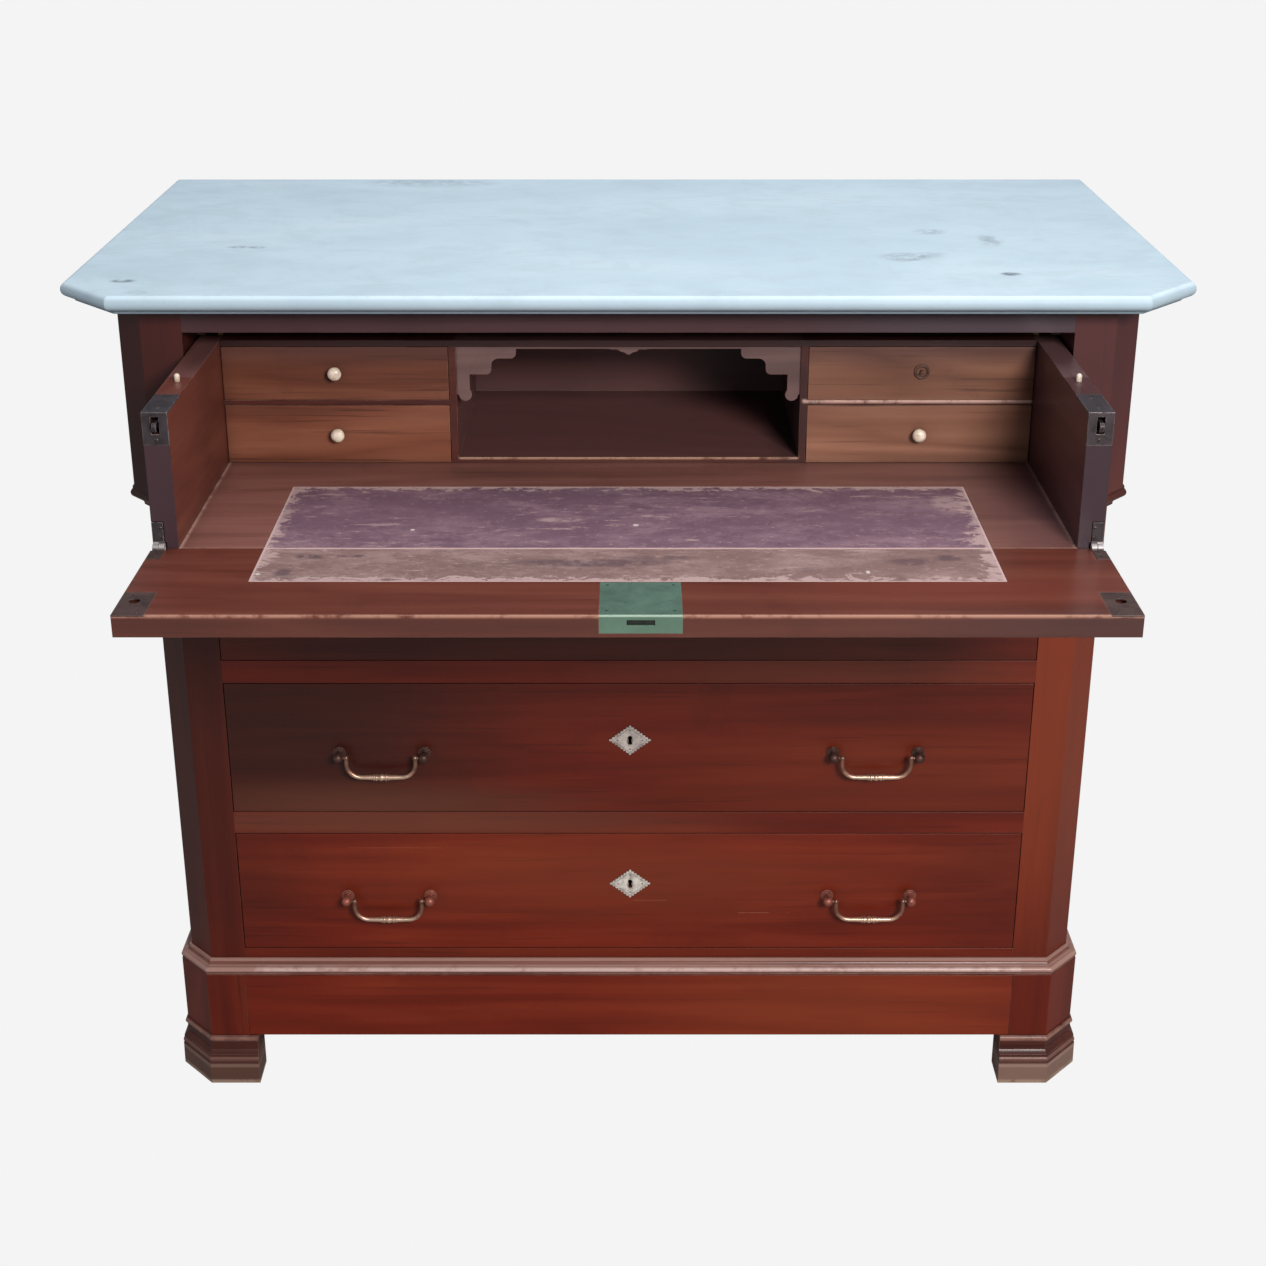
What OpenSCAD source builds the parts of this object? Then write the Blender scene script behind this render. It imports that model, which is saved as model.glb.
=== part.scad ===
// Chest of drawers with a slab top, whose top drawer pulls out and lets its front down as a writing desk.
// Millimetres. +Z is up, the front faces -Y, and the origin is on the floor under the middle of the open
// piece. Inside the modules y = 0 is the front face of the lower stiles.

/* [Case] */
// Width of the lower case over its sides
case_w = 1064; // [980:1:1300]
// Depth from the face of the lower stiles to the back of the case
case_d = 532; // [530:1:620]
// Thickness of the side panels
side_t = 22; // [16:1:30]
// Width of the flat face of each lower stile
stile_w = 41; // [36:1:70]
// Depth of the stiles behind the lower face
stile_d = 55; // [45:1:90]
// Width of the canted corner of the lower case
cant = 30; // [14:1:32]
// How far the upper case steps out from the lower one
upper_step = 12; // [8:1:18]
// Width of the canted corner of the upper case
upper_cant = 30; // [16:1:34]
// Width of the flat face of each upper stile
upper_stile_w = 44; // [36:1:60]
// Depth of the rails between the drawers
rail_d = 50; // [35:1:54]
// Height of the rails between the long drawers
rail_h = 28; // [18:1:40]
// Height of the rail under the lowest long drawer
base_rail_h = 30; // [22:1:40]
// Height of the rail at the waist, under the desk drawer
waist_rail_h = 35; // [26:1:50]
// Height of the rail under the top
top_rail_h = 31; // [24:1:45]
// Thickness of the frame under the top
top_frame_t = 18; // [12:1:22]
// Thickness of the back panel
back_t = 12; // [8:1:18]
// Depth of the sunk fields in the back panel
back_sink = 4; // [2:0.5:6]
// Thickness of the runners and of the bottom board
runner_t = 12; // [8:1:13]
// Width of the runners inside the stiles
runner_w = 22; // [14:1:40]

/* [Top slab] */
// Thickness of the slab
slab_t = 21; // [20:1:30]
// Overhang of the slab over the upper case
slab_over = 52; // [30:1:60]
// Overhang of the slab behind the case
slab_back = 8; // [0:1:20]
// Width of the canted corners of the slab
slab_cant = 62; // [40:1:90]
// Radius of the rounded nose of the slab
nose_r = 8; // [6:0.5:9]
// How far the fillet under the nose stands back from it
nose_step = 5; // [3:0.5:7]

/* [Base] */
// Height of the feet
foot_h = 64; // [60:1:80]
// Width of each foot, in from its outer side
foot_w = 101; // [90:1:130]
// Thickness of the front feet's walls
foot_t = 34; // [28:1:44]
// Depth of each foot
foot_d = 108; // [90:1:130]
// How far the foot of each foot steps out from the plinth
foot_step = 8; // [6:1:14]
// Height of the plinth
plinth_h = 86; // [70:1:110]
// How far the plinth steps out from the lower case
plinth_step = 12; // [8:1:18]
// Width of the canted corner of the plinth
plinth_cant = 37; // [24:1:44]
// Thickness of the plinth boards
plinth_t = 30; // [24:1:34]
// Thickness of the strips that the plinth drawer runs on
plinth_runner_t = 6; // [4:0.5:9]

/* [Long drawers] */
// Height of the upper long drawer's opening
drawer_1_h = 167; // [130:1:200]
// Height of the middle long drawer's opening
drawer_2_h = 167; // [130:1:200]
// Height of the lower long drawer's opening
drawer_3_h = 158; // [130:1:200]
// Thickness of the drawer fronts
front_t = 22; // [16:1:28]
// Gap around each drawer front
front_gap = 1; // [0.5:0.1:2]
// Thickness of the drawer sides and backs
lining_t = 12; // [8:1:16]
// Thickness of the drawer bottoms
bottom_t = 8; // [5:1:12]
// How much lower than its opening a drawer side stands
side_drop = 10; // [6:1:20]
// Gap between a drawer's back and the back panel
back_gap = 20; // [10:1:40]
// Running clearance between a sliding piece and what carries it
run_gap = 0.4; // [0.3:0.05:1]

/* [Desk drawer] */
// Height of the desk drawer's opening
desk_h = 185; // [175:1:210]
// How far the desk drawer stands pulled out
pull_out = 225; // [120:1:240]
// Length of the desk drawer from front to back
desk_l = 505; // [440:1:509]
// Thickness of the desk sides
desk_side_t = 25; // [20:1:32]
// Height of the desk sides above the writing surface
desk_side_h = 140; // [125:1:150]
// Thickness of the desk board
desk_board_t = 20; // [16:1:24]
// Side play of the desk drawer in its opening
desk_play = 3.5; // [1:0.1:5]
// Gap between the underside of the open fall and the waist rail
fall_pass = 1; // [0.5:0.1:2]

/* [Fall front] */
// Thickness of the fall front
fall_t = 22; // [18:1:26]
// Gap above the fall front when it is closed
fall_gap = 2; // [1:0.1:4]
// Side play of the fall front in its opening
fall_play = 2; // [1:0.1:3]
// Length of the lip that hooks under the desk board
lip_l = 20; // [12:1:28]
// Thickness of the lip
lip_t = 7.5; // [5:0.5:9]
// Gap between the meeting edges of the fall and the desk
meet_gap = 0.4; // [0.3:0.05:1]
// Depth of the recess for the leather and the ironwork
inlay = 1.5; // [1:0.1:2.5]
// Width of the leather
leather_w = 716; // [500:1:780]
// Length of the leather on the desk board
desk_leather_l = 174; // [120:1:200]

/* [Fall lock] */
// Distance of the lock from the middle
lock_x = 12; // [-30:1:30]
// Width of the lock plate
lock_w = 76; // [60:1:90]
// Length of the lock plate on the inside of the fall
lock_l = 76; // [60:1:76]
// Height of the lock plate on the edge of the fall
lock_edge_h = 18; // [16:0.5:18]
// Width of the lock bolt
bolt_w = 25; // [16:1:34]
// Thickness of the lock bolt
bolt_t = 4.5; // [3:0.1:6]
// Length of the bolt of the fall
bolt_l = 26; // [20:1:40]
// Depth of the middle of the bolt below the inside face of the fall
bolt_depth = 7.5; // [7:0.5:11]
// Height of the keyhole above the lower edge of the closed fall
fall_key_y = 110; // [90:1:128]
// Clearance around a lock bolt
bolt_gap = 0.4; // [0.3:0.05:0.8]
// Clear space on each side of a bolt in its keep
keep_gap = 3; // [2:0.5:4]

/* [Catches and hinges] */
// Outside radius of the hinge knuckles
knuckle_r = 5; // [4:0.1:6]
// Radius of the hinge pins
hinge_pin_r = 2; // [1.5:0.1:2.5]
// Length of each hinge knuckle
knuckle_l = 5.6; // [4:0.1:6.5]
// Radial running clearance of pins in their bores
pin_gap = 0.05; // [0.02:0.01:0.1]
// Length of the hinge leaves
leaf_l = 22; // [14:1:30]
// Height of the catch plates on the front of the desk sides
catch_plate_h = 33; // [26:1:45]
// Length of the catch plates along the top of the desk sides
catch_plate_l = 58; // [40:1:80]
// Thickness of the catch plates
plate_t = 2; // [1.5:0.1:2.4]
// Height of the catch noses above the writing surface
catch_z = 128; // [124:0.5:129]
// Thickness of the catch levers
lever_t = 4; // [3:0.5:5]
// Height of the catch levers
lever_h = 5.5; // [5:0.1:6]
// Reach of the catch noses in front of the desk sides
nose_reach = 6; // [4:0.5:8]
// Distance of the catch pivots behind the front of the desk sides
pivot_y = 55; // [45:1:70]
// Distance of the thumb pins behind the front of the desk sides
thumb_y = 102; // [90:1:120]
// Height of the thumb pins above the desk sides
thumb_h = 8; // [5:0.5:12]
// Radius of the thumb pins
thumb_r = 2.8; // [2:0.1:3.5]
// Radius of the holes in the strike plates
strike_r = 5.4; // [5.2:0.1:6]

/* [Nest of small drawers] */
// Distance of the nest behind the front of the desk
nest_set = 250; // [215:1:300]
// Thickness of the nest's upright boards
nest_t = 8; // [5:1:10]
// Thickness of the nest's top board
nest_top_t = 7; // [5:1:9]
// Thickness of the shelf between the small drawers
shelf_t = 5.5; // [4:0.5:8]
// Thickness of the floor of the pigeonhole
pigeon_floor_t = 6; // [4:0.5:10]
// Inside width of the pigeonhole
pigeon_w = 374; // [300:1:460]
// Height of the lower small drawers
small_h = 67; // [58:1:72]
// Thickness of the small drawer fronts
small_front_t = 10; // [8:1:14]
// Thickness of the small drawers' sides, backs and bottoms
small_t = 5; // [4:1:7]
// Gap around the small drawer fronts
small_gap = 0.7; // [0.4:0.1:1.2]
// Radius of the knobs
knob_r = 7.5; // [6:0.5:10]
// Length of the knobs
knob_l = 14; // [10:0.5:20]
// Thickness of the scalloped board over the pigeonhole
valance_t = 6; // [4:0.5:8]
// Depth of the scalloped brackets at the sides of the pigeonhole
valance_drop = 62; // [50:1:70]

/* [Pulls and key plates] */
// Distance of each pull from the middle of its drawer
pull_x = 284; // [200:1:340]
// Distance between the two posts of a pull
post_gap = 98; // [84:1:120]
// Height of the posts over the middle of the drawer front, negative when they stand under it
post_rise = -5; // [-10:1:10]
// Projection of the posts to the line of the pivots
post_l = 14; // [12:0.5:18]
// Radius of the ball heads of the posts
post_head_r = 6; // [5:0.5:7]
// Radius of the handle's pivots
bail_pin_r = 1.7; // [1.4:0.1:1.8]
// Radius of the balls at the tops of the handle's arms
bail_ball_r = 3.1; // [2.8:0.1:3.6]
// Drop of the handle below its pivots
bail_drop = 25; // [24:1:34]
// Thickness radius of the handle at its thin ends
bail_r = 2.5; // [1.8:0.1:2.7]
// Radius of the handle's bends
bend_r = 17; // [10:1:20]
// Thickness radius of the bead in the middle of the handle
bead_r = 4.2; // [3.5:0.1:5]
// Width of a key plate
key_plate_w = 48; // [36:1:60]
// Height of a key plate
key_plate_h = 38; // [30:1:50]
// Thickness of a key plate
key_plate_t = 1.2; // [0.8:0.1:2]
// Distance of the key plates from the middle
key_x = 1.5; // [-5:0.5:5]
// Height of the keyholes above the middle of each drawer front
key_rise = 14; // [0:1:20]

/* [Hidden] */

mahogany = "#6b3326";
dark_mahogany = "#4a241c";
nest_wood = "#82503c";
lining_wood = "#9a7048";
iron = "#4a4644";
brass = "#8a5a36";
bone = "#d8cbb4";

// Heights, from the floor up
plinth_z = foot_h;
base_z = plinth_z + plinth_h;
drawer_3_z = base_z + base_rail_h;
drawer_2_z = drawer_3_z + drawer_3_h + rail_h;
drawer_1_z = drawer_2_z + drawer_2_h + rail_h;
waist_z = drawer_1_z + drawer_1_h + waist_rail_h;
top_rail_z = waist_z + desk_h;
case_h = top_rail_z + top_rail_h;
drawer_z = [drawer_1_z, drawer_2_z, drawer_3_z];
drawer_h = [drawer_1_h, drawer_2_h, drawer_3_h];

// Half widths and depths
case_x = case_w / 2;
upper_x = case_x + upper_step;
plinth_x = case_x + plinth_step;
slab_x = upper_x + slab_over;
open_x = case_x - cant - stile_w;
desk_open_x = upper_x - upper_cant - upper_stile_w;
inner_x = case_x - side_t;
back_y = case_d - back_t;
slab_y = -upper_step - slab_over;
slab_back_y = case_d + slab_back;

// The desk drawer, as it stands pulled out
fall_x = desk_open_x - fall_play;
desk_x = desk_open_x - desk_play;
desk_in_x = desk_x - desk_side_t;
writing_z = waist_z + fall_pass + fall_t;
desk_under_z = writing_z - desk_board_t;
desk_top_z = writing_z + desk_side_h;
desk_y = fall_t - upper_step - pull_out;
desk_end_y = desk_y + desk_l;
fall_l = top_rail_z - fall_gap - writing_z;
fall_leather_l = fall_l - lock_l - 1;
nest_y = desk_y + nest_set;
nest_back_y = desk_end_y - small_front_t;
small_2_z = writing_z + small_h + shelf_t;
small_top_z = desk_top_z - nest_top_t;
pigeon_x = pigeon_w / 2;
side_front_y = desk_y + meet_gap;
lever_x = desk_x - desk_side_t / 2;
lever_z = writing_z + catch_z - 3;
pivot_z = lever_z + lever_h / 2;
barb = 3.5;
mortise_z0 = lever_z - 7;
mortise_z1 = lever_z + lever_h + 5;
mortise_gap = 2;

// The origin is under the middle of the whole piece as it stands open
front_y = desk_y - meet_gap - fall_l;
shift_y = -(front_y + slab_back_y) / 2;

// Mouldings
waist_mould_h = 23;
base_mould_h = 17;
mould_reach = 30;
foot_core_in = 6;
mitre_gap = 0.05;
slab_far = 1500;
mortise_depth = 14;
// Width of the boards of the top's frame along its sides and back
frame_board_w = 70;
eps = 0.01;
$fn = 48;

// Small helpers

module block(x0, x1, y0, y1, z0, z1)
    translate([x0, y0, z0]) cube([x1 - x0, y1 - y0, z1 - z0]);

module both_sides() {
    children();
    mirror([1, 0, 0]) children();
}

// Half of a board with a canted front corner, from x = inner_edge out to x = half
function corner_outline(inner_edge, half, front, corner, depth) =
    [[inner_edge, front], [half - corner, front], [half, front + corner], [half, depth], [inner_edge, depth]];

// Whole outline with two canted front corners
function canted_outline(half, front, corner, rear) =
    [[half, rear], [half, front + corner], [half - corner, front],
     [corner - half, front], [-half, front + corner], [-half, rear]];

// The keep that a lock bolt rises into, cut upwards from z around the middle of the bolt
module bolt_keep(x, y, z)
    translate([x, y, z])
        cube([bolt_w + 2 * keep_gap, bolt_t + 2 * keep_gap, 2 * mortise_depth], center = true);

function unit(v) = v / norm(v);
function outward(p, q) = unit([p.y - q.y, q.x - p.x]);
function mitre(path, i) =
    let (last = len(path) - 1,
         a = outward(path[max(i - 1, 0)], path[max(i, 1)]),
         b = outward(path[min(i, last - 1)], path[min(i + 1, last)]))
    (a + b) / (1 + a * b);

// Runs the 2D profile given as child along a path in plan, in lengths with mitred ends.
// The profile's x is its projection to the left of the path's direction, and its y is its height.
// A hair's breadth stays open between two lengths, and inside is how far they go in behind the path.
module run_moulding(path, z, inside = 0) {
    last = len(path) - 1;
    for (i = [0:last - 1]) {
        way = unit(path[i + 1] - path[i]);
        p = path[i] + (i > 0 ? mitre_gap : 0) * way;
        q = path[i + 1] - (i + 1 < last ? mitre_gap : 0) * way;
        intersection() {
            translate([p.x, p.y, z]) rotate([90, 0, atan2(way.y, way.x) + 90])
                translate([0, 0, -mould_reach])
                    linear_extrude(norm(q - p) + 2 * mould_reach) children();
            translate([0, 0, z - mould_reach])
                linear_extrude(4 * mould_reach)
                    polygon([p - inside * mitre(path, i), p + mould_reach * mitre(path, i),
                             q + mould_reach * mitre(path, i + 1), q - inside * mitre(path, i + 1)]);
        }
    }
}

// The long slab behind a rounded nose on line i of the path
module nose_slab(path, i) {
    p = path[i];
    way = path[i + 1] - p;
    translate([p.x, p.y, case_h + slab_t - 2 * nose_r]) rotate([90, 0, atan2(way.y, way.x) + 90])
        translate([0, 0, -slab_far])
            linear_extrude(2 * slab_far) {
                nose_profile();
                translate([-slab_far, 0]) square([slab_far, 2 * nose_r]);
            }
}

// Profiles

// Torus over a cove, with a fillet on top
module waist_profile() {
    body_w = 12.5;
    torus_r = 5.5;
    cove_r = 9;
    top_fillet = 2;
    // The fillet bites a little into the torus, so that they meet at an angle
    bite = 0.6;
    difference() {
        square([body_w, waist_mould_h]);
        translate([body_w + 1.5, 0]) circle(r = cove_r);
    }
    translate([body_w, waist_mould_h - top_fillet - torus_r]) circle(r = torus_r);
    translate([0, waist_mould_h - top_fillet - bite]) square([body_w + 3, top_fillet + bite]);
}

// From the plinth's face up: a fillet, a torus and a cove, with a narrow fillet on top
module base_profile() {
    torus_r = 4;
    cove_r = 6;
    fillet_h = 1.5;
    bite = 0.6;
    centre_x = plinth_step - torus_r + 0.5;
    difference() {
        square([centre_x - 1, base_mould_h]);
        translate([centre_x, base_mould_h - 2]) circle(r = cove_r);
    }
    square([plinth_step - 0.5, fillet_h + bite]);
    translate([centre_x, fillet_h + torus_r]) circle(r = torus_r);
}

// Bead, cove and flared block of a foot
module foot_profile() {
    block_h = 33;
    bead_h = 9;
    cove_r = 14;
    reach = foot_core_in + foot_step;
    translate([-foot_core_in, 0]) square([foot_core_in, foot_h]);
    polygon([[0, 0], [reach, 0], [reach - 0.5, block_h - 4], [reach - 2.5, block_h], [0, block_h]]);
    translate([reach - 4, block_h]) circle(r = 3.5);
    difference() {
        square([reach - 2, foot_h - bead_h]);
        translate([reach + 4.5, foot_h - bead_h - 3]) circle(r = cove_r);
    }
    square([foot_core_in + 1, foot_h]);
    translate([foot_core_in - 1, foot_h - bead_h / 2]) circle(r = bead_h / 2 - 0.3);
}

// Rounded nose of the slab, a little less than a half round
module nose_profile() {
    round_r = nose_r + 0.4;
    centre_x = 2 * nose_r - round_r;
    square([centre_x, 2 * nose_r]);
    intersection() {
        translate([centre_x, nose_r]) circle(r = round_r);
        translate([centre_x, 0]) square([round_r, 2 * nose_r]);
    }
}

// Case

module marble_top() color("#bfd0dc") translate([0, shift_y, 0]) {
    fillet_h = slab_t - 2 * nose_r;
    nose_in = 2 * nose_r;
    path = canted_outline(slab_x - nose_in, slab_y + nose_in, slab_cant - nose_in * 0.586, slab_back_y);
    // Where the noses of front, cants and sides cross, they make the slab's corners
    intersection() {
        nose_slab(path, 0);
        nose_slab(path, 1);
        nose_slab(path, 2);
        nose_slab(path, 3);
        nose_slab(path, 4);
        block(-slab_far, slab_far, -slab_far, slab_back_y, case_h, case_h + 2 * slab_t);
    }
    fillet_in = nose_r + nose_step;
    translate([0, 0, case_h])
        linear_extrude(fillet_h + eps)
            polygon(canted_outline(slab_x - fillet_in, slab_y + fillet_in, slab_cant - fillet_in * 0.586,
                                   slab_back_y - 2));
}

// The front rail has a keep cut in its underside for the bolt of the fall
module top_frame() color(mahogany) translate([0, shift_y, 0]) {
    rail_back = front_t - upper_step + 10;
    board_z = case_h - top_frame_t;
    keep_y = fall_t - upper_step - bolt_depth;
    difference() {
        block(-desk_open_x, desk_open_x, -upper_step, rail_back, top_rail_z, case_h);
        bolt_keep(lock_x, keep_y, top_rail_z);
    }
    frame_back_y = back_y - frame_board_w;
    both_sides() block(inner_x - frame_board_w, inner_x, stile_d, frame_back_y, board_z, case_h);
    block(-inner_x, inner_x, frame_back_y, back_y, board_z, case_h);
}

module side_panel_right() color(dark_mahogany) translate([0, shift_y, 0]) {
    translate([0, case_d, 0]) rotate([90, 0, 0]) linear_extrude(case_d - stile_d)
        polygon([[inner_x, base_z], [case_x, base_z], [case_x, waist_z], [upper_x, waist_z],
                 [upper_x, case_h], [inner_x, case_h]]);
}

module side_panel_left() mirror([1, 0, 0]) side_panel_right();

module stiles() color(mahogany) translate([0, shift_y, 0]) both_sides() {
    translate([0, 0, base_z]) linear_extrude(waist_z - base_z)
        polygon(corner_outline(open_x, case_x, 0, cant, stile_d));
    translate([0, 0, waist_z]) linear_extrude(case_h - waist_z)
        polygon(corner_outline(desk_open_x, upper_x, -upper_step, upper_cant, stile_d));
}

// Frame and three sunk fields
module back_panel() color(lining_wood) translate([0, shift_y, 0]) {
    fields = 3;
    border = 70;
    pitch = (2 * inner_x - border) / fields;
    difference() {
        block(-inner_x, inner_x, back_y, case_d, base_z, case_h);
        for (i = [0:fields - 1])
            block(-inner_x + border + i * pitch, -inner_x + (i + 1) * pitch,
                  case_d - back_sink, case_d + 1, base_z + border, case_h - border);
    }
}

// Each rail over a long drawer has a keep in its underside for that drawer's bolt
module drawer_rails() color(mahogany) translate([0, shift_y, 0]) {
    rails = [[base_z, drawer_3_z], [drawer_3_z + drawer_3_h, drawer_2_z],
             [drawer_2_z + drawer_2_h, drawer_1_z], [drawer_1_z + drawer_1_h, waist_z]];
    for (i = [0:3])
        difference() {
            block(-open_x, open_x, 0, rail_d, rails[i][0], rails[i][1]);
            if (i > 0)
                bolt_keep(key_x, front_t / 2, rails[i][0]);
        }
}

// Runners and guides beside each drawer, and the kickers over the desk drawer
module drawer_runners() color(lining_wood) translate([0, shift_y, 0]) both_sides() {
    guide_h = 25;
    groove_w = 14;
    for (z = drawer_z) {
        block(open_x - runner_w, open_x, rail_d, back_y, z - runner_t, z);
        block(open_x, inner_x, stile_d, back_y, z - runner_t, z);
        block(open_x + run_gap, inner_x, stile_d, back_y, z, z + guide_h);
    }
    desk_floor_z = desk_under_z - run_gap;
    block(desk_in_x, inner_x, stile_d, back_y, desk_floor_z - runner_t, desk_floor_z);
    block(desk_open_x, inner_x, stile_d, back_y, desk_floor_z, desk_floor_z + guide_h);
    // The kicker, with a groove for the thumb pins
    groove_end = pull_out + desk_y + thumb_y + groove_w;
    difference() {
        block(desk_in_x, inner_x, stile_d, back_y - frame_board_w,
              desk_top_z + run_gap, case_h - top_frame_t);
        block(lever_x - groove_w / 2, lever_x + groove_w / 2, stile_d - 1, groove_end,
              desk_top_z, desk_top_z + thumb_h + 4);
    }
}

module waist_moulding() color(mahogany) translate([0, shift_y, 0])
    run_moulding(canted_outline(case_x, 0, cant, case_d), waist_z - waist_mould_h) waist_profile();

// The moulding over the plinth
module base_moulding() color(mahogany) translate([0, shift_y, 0])
    run_moulding(canted_outline(case_x, 0, cant, case_d), base_z) base_profile();

module plinth_frame() color(mahogany) translate([0, shift_y, 0]) {
    both_sides() {
        translate([0, 0, plinth_z]) linear_extrude(plinth_h)
            polygon(corner_outline(open_x, plinth_x, -plinth_step, plinth_cant, stile_d));
        block(plinth_x - plinth_t, plinth_x, stile_d, case_d, plinth_z, base_z);
        block(open_x + run_gap, plinth_x - plinth_t, stile_d, back_y, plinth_z, plinth_z + 2 * runner_t);
        block(open_x - runner_w, open_x + run_gap, stile_d, back_y, plinth_z, plinth_z + plinth_runner_t);
    }
    block(plinth_t - plinth_x, plinth_x - plinth_t, back_y, case_d, plinth_z, base_z);
    // Bottom board of the case, between the stiles and behind them
    board_top = base_z + runner_t;
    board_mid_y = stile_d + run_gap;
    block(run_gap - open_x, open_x - run_gap, rail_d, board_mid_y, base_z, board_top);
    block(run_gap - inner_x, inner_x - run_gap, board_mid_y, back_y - run_gap, base_z, board_top);
}

module front_foot() {
    outer = plinth_x - foot_core_in;
    front = foot_core_in - plinth_step;
    inner = plinth_x + foot_step - foot_w;
    corner = plinth_cant - foot_core_in * 0.586;
    back = front + foot_d;
    wall = foot_t - foot_core_in;
    wall_back = front + wall;
    run_moulding([[outer, back], [outer, front + corner], [outer - corner, front], [inner, front]], 0,
                 foot_core_in / 2)
        foot_profile();
    linear_extrude(foot_h)
        polygon([[inner, front], [outer - corner, front], [outer, front + corner], [outer, back],
                 [outer - wall, back], [outer - wall, wall_back + corner], [outer - corner - wall, wall_back],
                 [inner, wall_back]]);
}

// The two front feet are shaped, and the two rear ones are plain tapered blocks
module feet() color(dark_mahogany) translate([0, shift_y, 0]) both_sides() {
    front_foot();
    rear_in = plinth_x - foot_w + foot_step;
    translate([0, case_d, 0]) rotate([90, 0, 0]) linear_extrude(foot_d - 20)
        polygon([[rear_in, 0], [plinth_x + foot_step, 0], [plinth_x + foot_step - 1, foot_h / 2],
                 [plinth_x - 2, foot_h], [rear_in + 8, foot_h], [rear_in + 1, foot_h / 2]]);
}

// Desk drawer

// The space that a hinge knuckle turns in
module knuckle_room(clear = 1)
    translate([desk_x - 2 * knuckle_l - 2.5, desk_y, writing_z]) rotate([0, 90, 0])
        cylinder(r = knuckle_r + clear, h = 2 * knuckle_l + 10);

module desk_side_right() color(dark_mahogany) translate([0, shift_y, 0]) difference() {
    block(desk_in_x, desk_x, side_front_y, desk_end_y, desk_under_z, desk_top_z);
    knuckle_room();
    // Seat of the hinge leaf
    block(desk_x - 2 * knuckle_l - 1, desk_x + 1, side_front_y - 1, side_front_y + inlay,
          writing_z, writing_z + knuckle_r + 1 + leaf_l);
    // Seat of the catch plate
    block(desk_in_x - 1, desk_x + 1, side_front_y - 1, side_front_y + plate_t,
          desk_top_z - catch_plate_h, desk_top_z + 1);
    block(desk_in_x - 1, desk_x + 1, side_front_y - 1, side_front_y + catch_plate_l,
          desk_top_z - plate_t, desk_top_z + 1);
    // Mortise of the catch lever, with a way in from the front
    block(lever_x - lever_t / 2 - mortise_gap, lever_x + lever_t / 2 + mortise_gap,
          side_front_y - 1, side_front_y + thumb_y + 14,
          mortise_z0, mortise_z1);
    translate([lever_x - 7.5, side_front_y + pivot_y, pivot_z]) rotate([0, 90, 0])
        cylinder(r = hinge_pin_r, h = 15);
    translate([lever_x, side_front_y + thumb_y, lever_z]) cylinder(r = thumb_r + 0.6, h = 40);
}

module desk_side_left() mirror([1, 0, 0]) desk_side_right();

// The front edge is rebated below, and the fall's lip hooks under it
module desk_board() color(mahogany) translate([0, shift_y, 0]) difference() {
    block(-desk_in_x, desk_in_x, desk_y, nest_back_y, desk_under_z, writing_z);
    block(-desk_in_x - 1, desk_in_x + 1, desk_y - 1, desk_y + lip_l + 2,
          desk_under_z - 1, writing_z - fall_t + lip_t + meet_gap);
    block(-leather_w / 2, leather_w / 2, desk_y - 1, desk_y + desk_leather_l,
          writing_z - inlay, writing_z + 1);
}

module desk_leather() color("#6e5669") translate([0, shift_y, 0])
    block(-leather_w / 2 + 0.3, leather_w / 2 - 0.3, desk_y, desk_y + desk_leather_l - 0.3,
          writing_z - inlay, writing_z - 0.1);

// Boards of the nest: top, back, uprights, shelves and the pigeonhole's floor
module nest_case() color(nest_wood) translate([0, shift_y, 0]) {
    block(-desk_in_x, desk_in_x, nest_y, nest_back_y, small_top_z, desk_top_z);
    block(-desk_in_x, desk_in_x, nest_back_y, desk_end_y, desk_under_z, desk_top_z);
    block(-pigeon_x, pigeon_x, nest_y, nest_back_y, writing_z, writing_z + pigeon_floor_t);
    both_sides() {
        block(pigeon_x, pigeon_x + nest_t, nest_y, nest_back_y, writing_z, small_top_z);
        block(pigeon_x + nest_t, desk_in_x, nest_y, nest_back_y, writing_z + small_h, small_2_z);
    }
}

// One scalloped bracket, in the plane of the front, hanging from z = 0 at the wall x = 0
module bracket_outline() {
    // Long lobe at the top
    square([65, 8]);
    square([59, 14]);
    translate([59, 8]) circle(r = 6);
    // Hollow and second lobe
    difference() {
        square([46, 22]);
        translate([46, 22]) circle(r = 8);
    }
    square([38, 26]);
    square([32, 32]);
    translate([32, 26]) circle(r = 6);
    // Narrow end with a round foot
    square([14, valance_drop - 7]);
    translate([9, valance_drop - 7]) circle(r = 7);
}

// Board with a scalloped lower edge over the pigeonhole: a bracket at each side and a drop in the middle
module valance() color(nest_wood) translate([0, shift_y, 0])
    translate([0, nest_y + 2 + valance_t, small_top_z]) rotate([90, 0, 0]) linear_extrude(valance_t) {
        both_sides() translate([pigeon_x, 0]) mirror([0, 1]) mirror([1, 0]) bracket_outline();
        translate([-pigeon_x, -3]) square([pigeon_w, 3]);
        difference() {
            polygon([[-22, 0], [22, 0], [22, -3], [5, -7], [0, -10], [-5, -7], [-22, -3]]);
            translate([14, -9.5]) circle(r = 6);
            translate([-14, -9.5]) circle(r = 6);
        }
    }

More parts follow.
